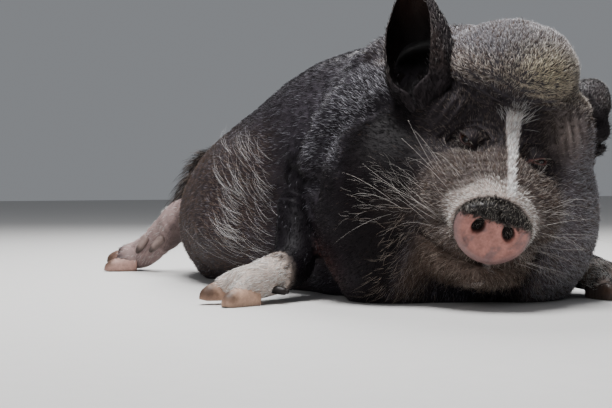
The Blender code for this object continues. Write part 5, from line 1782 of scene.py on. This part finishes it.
class PIG_OT_bristles(bpy.types.Operator):
    """Long white bristles on the flanks, whiskers round the muzzle and wisps over the blaze"""
    bl_idname = "pig.bristles"
    bl_label = "Bristles"

    def execute(self, context):
        mesh = bpy.data.objects["hide"].data

        def flank(points, out):
            side = soft(np.abs(out[:, 0]), 0.4, 0.8)
            y = np.exp(-((points[:, 1] + 0.058) / 0.050)**2)
            tuft = soft(waves(points, 0.075, 79, 1), -0.15, 0.45) + 0.05
            return side * y * tuft * soft(points[:, 2], 0.02, 0.06) * soft(points[:, 2], 0.25, 0.18)

        count = 330
        at, out, draw = scatter(mesh, count, flank, 71)
        turn = 0.42 + 0.50 * waves(at, 0.13, 77, 2)
        lie = unit(np.stack([np.zeros(count), np.cos(turn), np.sin(turn)], 1))
        lie = flattened(lie, out)
        length = draw.uniform(0.034, 0.080, count)
        tone = np.array((0.78, 0.76, 0.75)) * draw.uniform(0.35, 1.1, (count, 1))
        half = draw.uniform(0.00012, 0.00020, count)
        grow_long("bristles_flank", at, out, lie, length, half, tone, draw, -0.03, round_trunk(at), 0.13,
                  bend=0.16, sweep=-0.28)

        def muzzle(points, out):
            f, l, u = in_head(points).T
            zone = soft(f, 0.095, 0.12) * soft(f, 0.175, 0.16) * soft(np.abs(l), 0.035, 0.05)
            return zone * soft(u, -0.12, -0.09) * soft(u, 0.0, -0.03)

        count = 56
        at, out, draw = scatter(mesh, count, muzzle, 72)
        local = in_head(at)
        lie = np.stack([np.full(count, -0.35), np.sign(local[:, 1]), 0.35 + 5.0 * (local[:, 2] + 0.07)], 1)
        lie = unit(lie) @ HEAD_AXES
        length = draw.uniform(0.050, 0.115, count)
        tone = np.where(draw.uniform(size=(count, 1)) < 0.80, (0.66, 0.62, 0.58), (0.05, 0.035, 0.03))
        grow_long("whiskers", at, out, lie, length, draw.uniform(0.00014, 0.00022, count), tone, draw, 0.20,
                  round_head(at), 0.30, bend=0.26)

        def fan(points, out):
            f, l, u = in_head(points).T
            return soft(f, 0.075, 0.11) * soft(f, 0.186, 0.172) * soft(u, -0.13, -0.10) \
                * soft(u, 0.055, 0.02) * soft(np.abs(l), 0.012, 0.035)

        count = 1100
        at, out, draw = scatter(mesh, count, fan, 74)
        local = in_head(at)
        away = unit(np.stack([np.zeros(count), local[:, 1], local[:, 2] + 0.055], 1))
        lie = unit(away - np.array((0.55, 0, 0))) @ HEAD_AXES
        lie = flattened(lie, out)
        length = draw.lognormal(-4.05, 0.38, count)
        tone = np.where(draw.uniform(size=(count, 1)) < 0.75, (0.52, 0.48, 0.45), (0.10, 0.07, 0.055))
        tone = tone * draw.uniform(0.5, 1.1, (count, 1))
        grow_long("fan_muzzle", at, out, lie, length, np.full(count, 0.00016), tone, draw, 0.03,
                  round_head(at), 0.22, stations=5)

        def beard(points, out):
            f, l, u = in_head(points).T
            return soft(f, 0.03, 0.07) * soft(u, -0.068, -0.090) * soft(np.abs(l), 0.135, 0.105) \
                * soft(points[:, 2], 0.006, 0.02)

        count = 1500
        at, out, draw = scatter(mesh, count, beard, 75)
        local = in_head(at)
        lie = unit(np.stack([np.full(count, -0.7), local[:, 1] * 9, np.full(count, -0.8)], 1)) @ HEAD_AXES
        lie = flattened(lie, out)
        length = draw.lognormal(-3.85, 0.35, count)
        tone = np.where(draw.uniform(size=(count, 1)) < 0.66, (0.52, 0.43, 0.36), (0.060, 0.040, 0.032))
        tone = tone * draw.uniform(0.5, 1.1, (count, 1))
        grow_long("beard", at, out, lie, length, np.full(count, 0.00018), tone, draw, 0.10,
                  round_head(at), 0.35, stations=5)

        def wisps(points, out):
            local = in_head(points)
            f, l, u = local.T
            return np.exp(-((l - 0.005) / 0.011)**2 - ((u - 0.084) / 0.010)**2) * soft(f, 0.04, 0.06)

        count = 110
        at, out, draw = scatter(mesh, count, wisps, 73)
        local = in_head(at)
        lie = np.stack([np.full(count, 0.1), (local[:, 1] - 0.005) * 45, np.ones(count)], 1)
        lie = unit(lie) @ HEAD_AXES
        tone = np.array((0.80, 0.78, 0.76)) * draw.uniform(0.7, 1.05, (count, 1))
        length = draw.uniform(0.010, 0.030, count)
        grow_long("wisps_brow", at, out, lie, length, np.full(count, 0.00022), tone, draw, 0.0,
                  round_head(at), 0.35)
        return {"FINISHED"}


class PIG_OT_ear_fur(bpy.types.Operator):
    """Short fur on the ears and a fringe along their edges"""
    bl_idname = "pig.ear_fur"
    bl_label = "Ear fur"

    def execute(self, context):
        for name in EARS:
            mesh = bpy.data.objects[f"skin_{name}"].data
            root = np.array(EARS[name][0])
            axis = unit(np.array(EARS[name][1]))

            def outside(points, out):
                local = in_head(points) - root
                away = unit(local - axis * (local @ axis)[:, None])
                facing = ((out @ HEAD_AXES.T) * away).sum(1)
                return soft(facing, -0.15, 0.15) + 0.06

            count = 5500
            at, out, draw = scatter(mesh, count, outside, 81)
            high = ((in_head(at) - root) @ axis) / EAR_LENGTH
            lie = unit((axis @ HEAD_AXES) - out * (out @ (axis @ HEAD_AXES))[:, None])
            length = draw.lognormal(0, 0.25, count) * np.interp(high, (0, 0.4, 1.0), (0.0105, 0.0075, 0.0070))
            pale = draw.uniform(size=count) < 0.26 * soft(high, 0.05, 0.35) * (outside(at, out) > 0.9)
            tone = np.where(pale[:, None], (0.15, 0.135, 0.13), (0.010, 0.008, 0.009))
            tone = tone * draw.lognormal(0, 0.25, (count, 1))
            t = np.array([0.0, 0.5, 1.0])
            turn = draw.normal(0, 0.3, count)
            lie = swung(lie, np.cross(out, lie), turn)
            paths = at[:, None] + lie[:, None] * (length[:, None] * t)[..., None] \
                + out[:, None] * (length[:, None] * np.array([-0.06, 0.16, 0.22]))[..., None]
            widths = np.full((count, 1), 0.00032) * np.array([1.0, 0.8, 0.0])
            angle = np.arctan2((in_head(at) - root) @ np.cross(axis, unit(np.array(EARS[name][2]))),
                               (in_head(at) - root) @ unit(np.array(EARS[name][2])))
            where = 0.02 + 0.96 * np.stack([0.5 + angle / (2 * math.pi), np.clip(high, 0, 1)], 1)
            made = strands(f"coat_{name}", paths, widths, out, tone * 0.7, tone, where)
            placed(f"coat_{name}", made, hair_material())
        return {"FINISHED"}


class PIG_OT_face_hair(bpy.types.Operator):
    """Stubble over the top of the snout and lashes on the lids"""
    bl_idname = "pig.face_hair"
    bl_label = "Snout stubble and lashes"

    def execute(self, context):
        centre, ahead, left, up = snout_frame()

        def top(points, out):
            return soft((points - centre) @ up, 0.006, 0.016)

        count = 3600
        at, out, draw = scatter(bpy.data.objects["snout_disc"].data, count, top, 91)
        lie = unit(up * 0.9 + ahead * 0.2 - out * ((up * 0.9 + ahead * 0.2) @ out.T)[:, None])
        turn = draw.normal(0, 0.5, count)
        lie = swung(lie, np.cross(out, lie), turn)
        length = draw.lognormal(0, 0.25, count) * 0.0042
        pale = draw.uniform(size=(count, 1)) < 0.30
        tone = np.where(pale, (0.36, 0.33, 0.29), (0.016, 0.012, 0.011)) * draw.lognormal(0, 0.25, (count, 1))
        t = np.array([0.0, 0.5, 1.0])
        paths = at[:, None] + lie[:, None] * (length[:, None] * t)[..., None] \
            + out[:, None] * (length[:, None] * np.array([-0.10, 0.40, 0.62]))[..., None]
        made = strands("coat_snout", paths, np.full((count, 1), 0.00028) * np.array([1.0, 0.8, 0.0]), out,
                       tone * 0.6, tone, round_head(at))
        placed("coat_snout", made, hair_material())
        for side, slit in zip((-1, 1), eye_slits()):
            draw = np.random.default_rng(95 + side)
            count = 90
            along = draw.uniform(-0.9, 0.9, count)
            upper = draw.uniform(size=count) < 0.72
            along_axis, up_axis, look = slit.axes
            edge = np.sqrt(1 - along**2) * np.where(upper, 1.0, -1.0) * (slit.radii[1] + 0.0006)
            ball = on_head(sided(EYE_PLACE, side))
            at = slit.centre + along_axis * (along * slit.radii[0])[:, None] + up_axis * edge[:, None]
            out = unit(at - ball)
            at = ball + out * (EYE_RADIUS + 0.0016)
            lie = unit(out * 0.7 + np.where(upper, -0.25, -0.6)[:, None] * up_axis
                       + along_axis * (along * 0.8)[:, None])
            tone = np.where(draw.uniform(size=(count, 1)) < 0.35, (0.42, 0.38, 0.34), (0.02, 0.015, 0.012))
            grow_long("lashes_right" if side < 0 else "lashes_left", at, unit(up_axis + out * 0.1), lie,
                      draw.uniform(0.006, 0.013, count), np.full(count, 0.00020), tone, draw, 0.0,
                      round_head(at), 0.2)
        return {"FINISHED"}


class PIG_OT_stage(bpy.types.Operator):
    """Pale floor, soft studio light and the camera"""
    bl_idname = "pig.stage"
    bl_label = "Stage"

    def execute(self, context):
        scene = context.scene
        corners = np.array([(-1, -1, 0), (1, -1, 0), (1, 1, 0), (-1, 1, 0)]) * FLOOR_HALF
        floor = bpy.data.objects.new("floor", new_mesh("floor", corners, np.array([[0, 1, 2, 3]])))
        scene.collection.objects.link(floor)
        made, tree, shader = new_material("pale_floor")
        place = node(tree, "ShaderNodeTexCoord").outputs["Object"]
        grain = noise_on(tree, place, 30.0, 5.0, 0.6)
        base = node(tree, "ShaderNodeRGB")
        base.outputs[0].default_value = (*scene.pig_stage.floor, 1.0)
        tree.links.new(tinted(tree, base.outputs[0], grain, 0.96, 1.04), shader.inputs["Base Color"])
        shader.inputs["Roughness"].default_value = 0.85
        floor.data.materials.append(made)
        world = bpy.data.worlds.new("studio")
        scene.world = world
        world.use_nodes = True
        world.node_tree.nodes["Background"].inputs["Color"].default_value = (0.90, 0.94, 1.0, 1.0)
        world.node_tree.nodes["Background"].inputs["Strength"].default_value = 0.25
        for name, place, part, width in LIGHTS:
            light = bpy.data.lights.new(name, "AREA")
            light.energy = scene.pig_stage.key * part
            light.shape = "DISK"
            light.size = width
            lamp = bpy.data.objects.new(name, light)
            scene.collection.objects.link(lamp)
            lamp.location = place
            aim = np.array(LIGHT_AIM) - np.array(place)
            flat = math.hypot(aim[0], aim[1])
            lamp.rotation_euler = (math.atan2(flat, -aim[2]), 0, math.atan2(-aim[0], aim[1]))
        camera = bpy.data.cameras.new("camera")
        camera.sensor_width = 36.0
        camera.lens = CAMERA_LENS
        eye = bpy.data.objects.new("camera", camera)
        scene.collection.objects.link(eye)
        eye.location = CAMERA_PLACE
        eye.rotation_euler = [math.radians(a) for a in CAMERA_TURN]
        scene.camera = eye
        return {"FINISHED"}


class PIG_PT_panel(bpy.types.Panel):
    """Lists the pieces of the pig in the order they are made"""
    bl_idname = "PIG_PT_panel"
    bl_label = "Lying pig"
    bl_space_type = "VIEW_3D"
    bl_region_type = "UI"
    bl_category = "Lying pig"

    def draw(self, context):
        for group in ("pig_skin", "pig_coat", "pig_stage"):
            settings = getattr(context.scene, group)
            for name in settings.bl_rna.properties.keys():
                if name not in ("rna_type", "name"):
                    self.layout.prop(settings, name)
        for operator in OPERATORS:
            self.layout.operator(operator.bl_idname)


SETTINGS = (PigSkinSettings, PigCoatSettings, PigStageSettings)
OPERATORS = (PIG_OT_stage, PIG_OT_hide, PIG_OT_ears, PIG_OT_snout, PIG_OT_eyes, PIG_OT_claws, PIG_OT_tail,
             PIG_OT_coat, PIG_OT_bristles, PIG_OT_ear_fur, PIG_OT_face_hair)


def register():
    for item in SETTINGS + OPERATORS + (PIG_PT_panel,):
        bpy.utils.register_class(item)
    bpy.types.Scene.pig_skin = bpy.props.PointerProperty(type=PigSkinSettings)
    bpy.types.Scene.pig_coat = bpy.props.PointerProperty(type=PigCoatSettings)
    bpy.types.Scene.pig_stage = bpy.props.PointerProperty(type=PigStageSettings)


def unregister():
    del bpy.types.Scene.pig_stage
    del bpy.types.Scene.pig_coat
    del bpy.types.Scene.pig_skin
    for item in reversed(SETTINGS + OPERATORS + (PIG_PT_panel,)):
        bpy.utils.unregister_class(item)


def main():
    register()
    for operator in OPERATORS:
        group, name = operator.bl_idname.split(".")
        getattr(getattr(bpy.ops, group), name)()


if __name__ == "__main__":
    main()
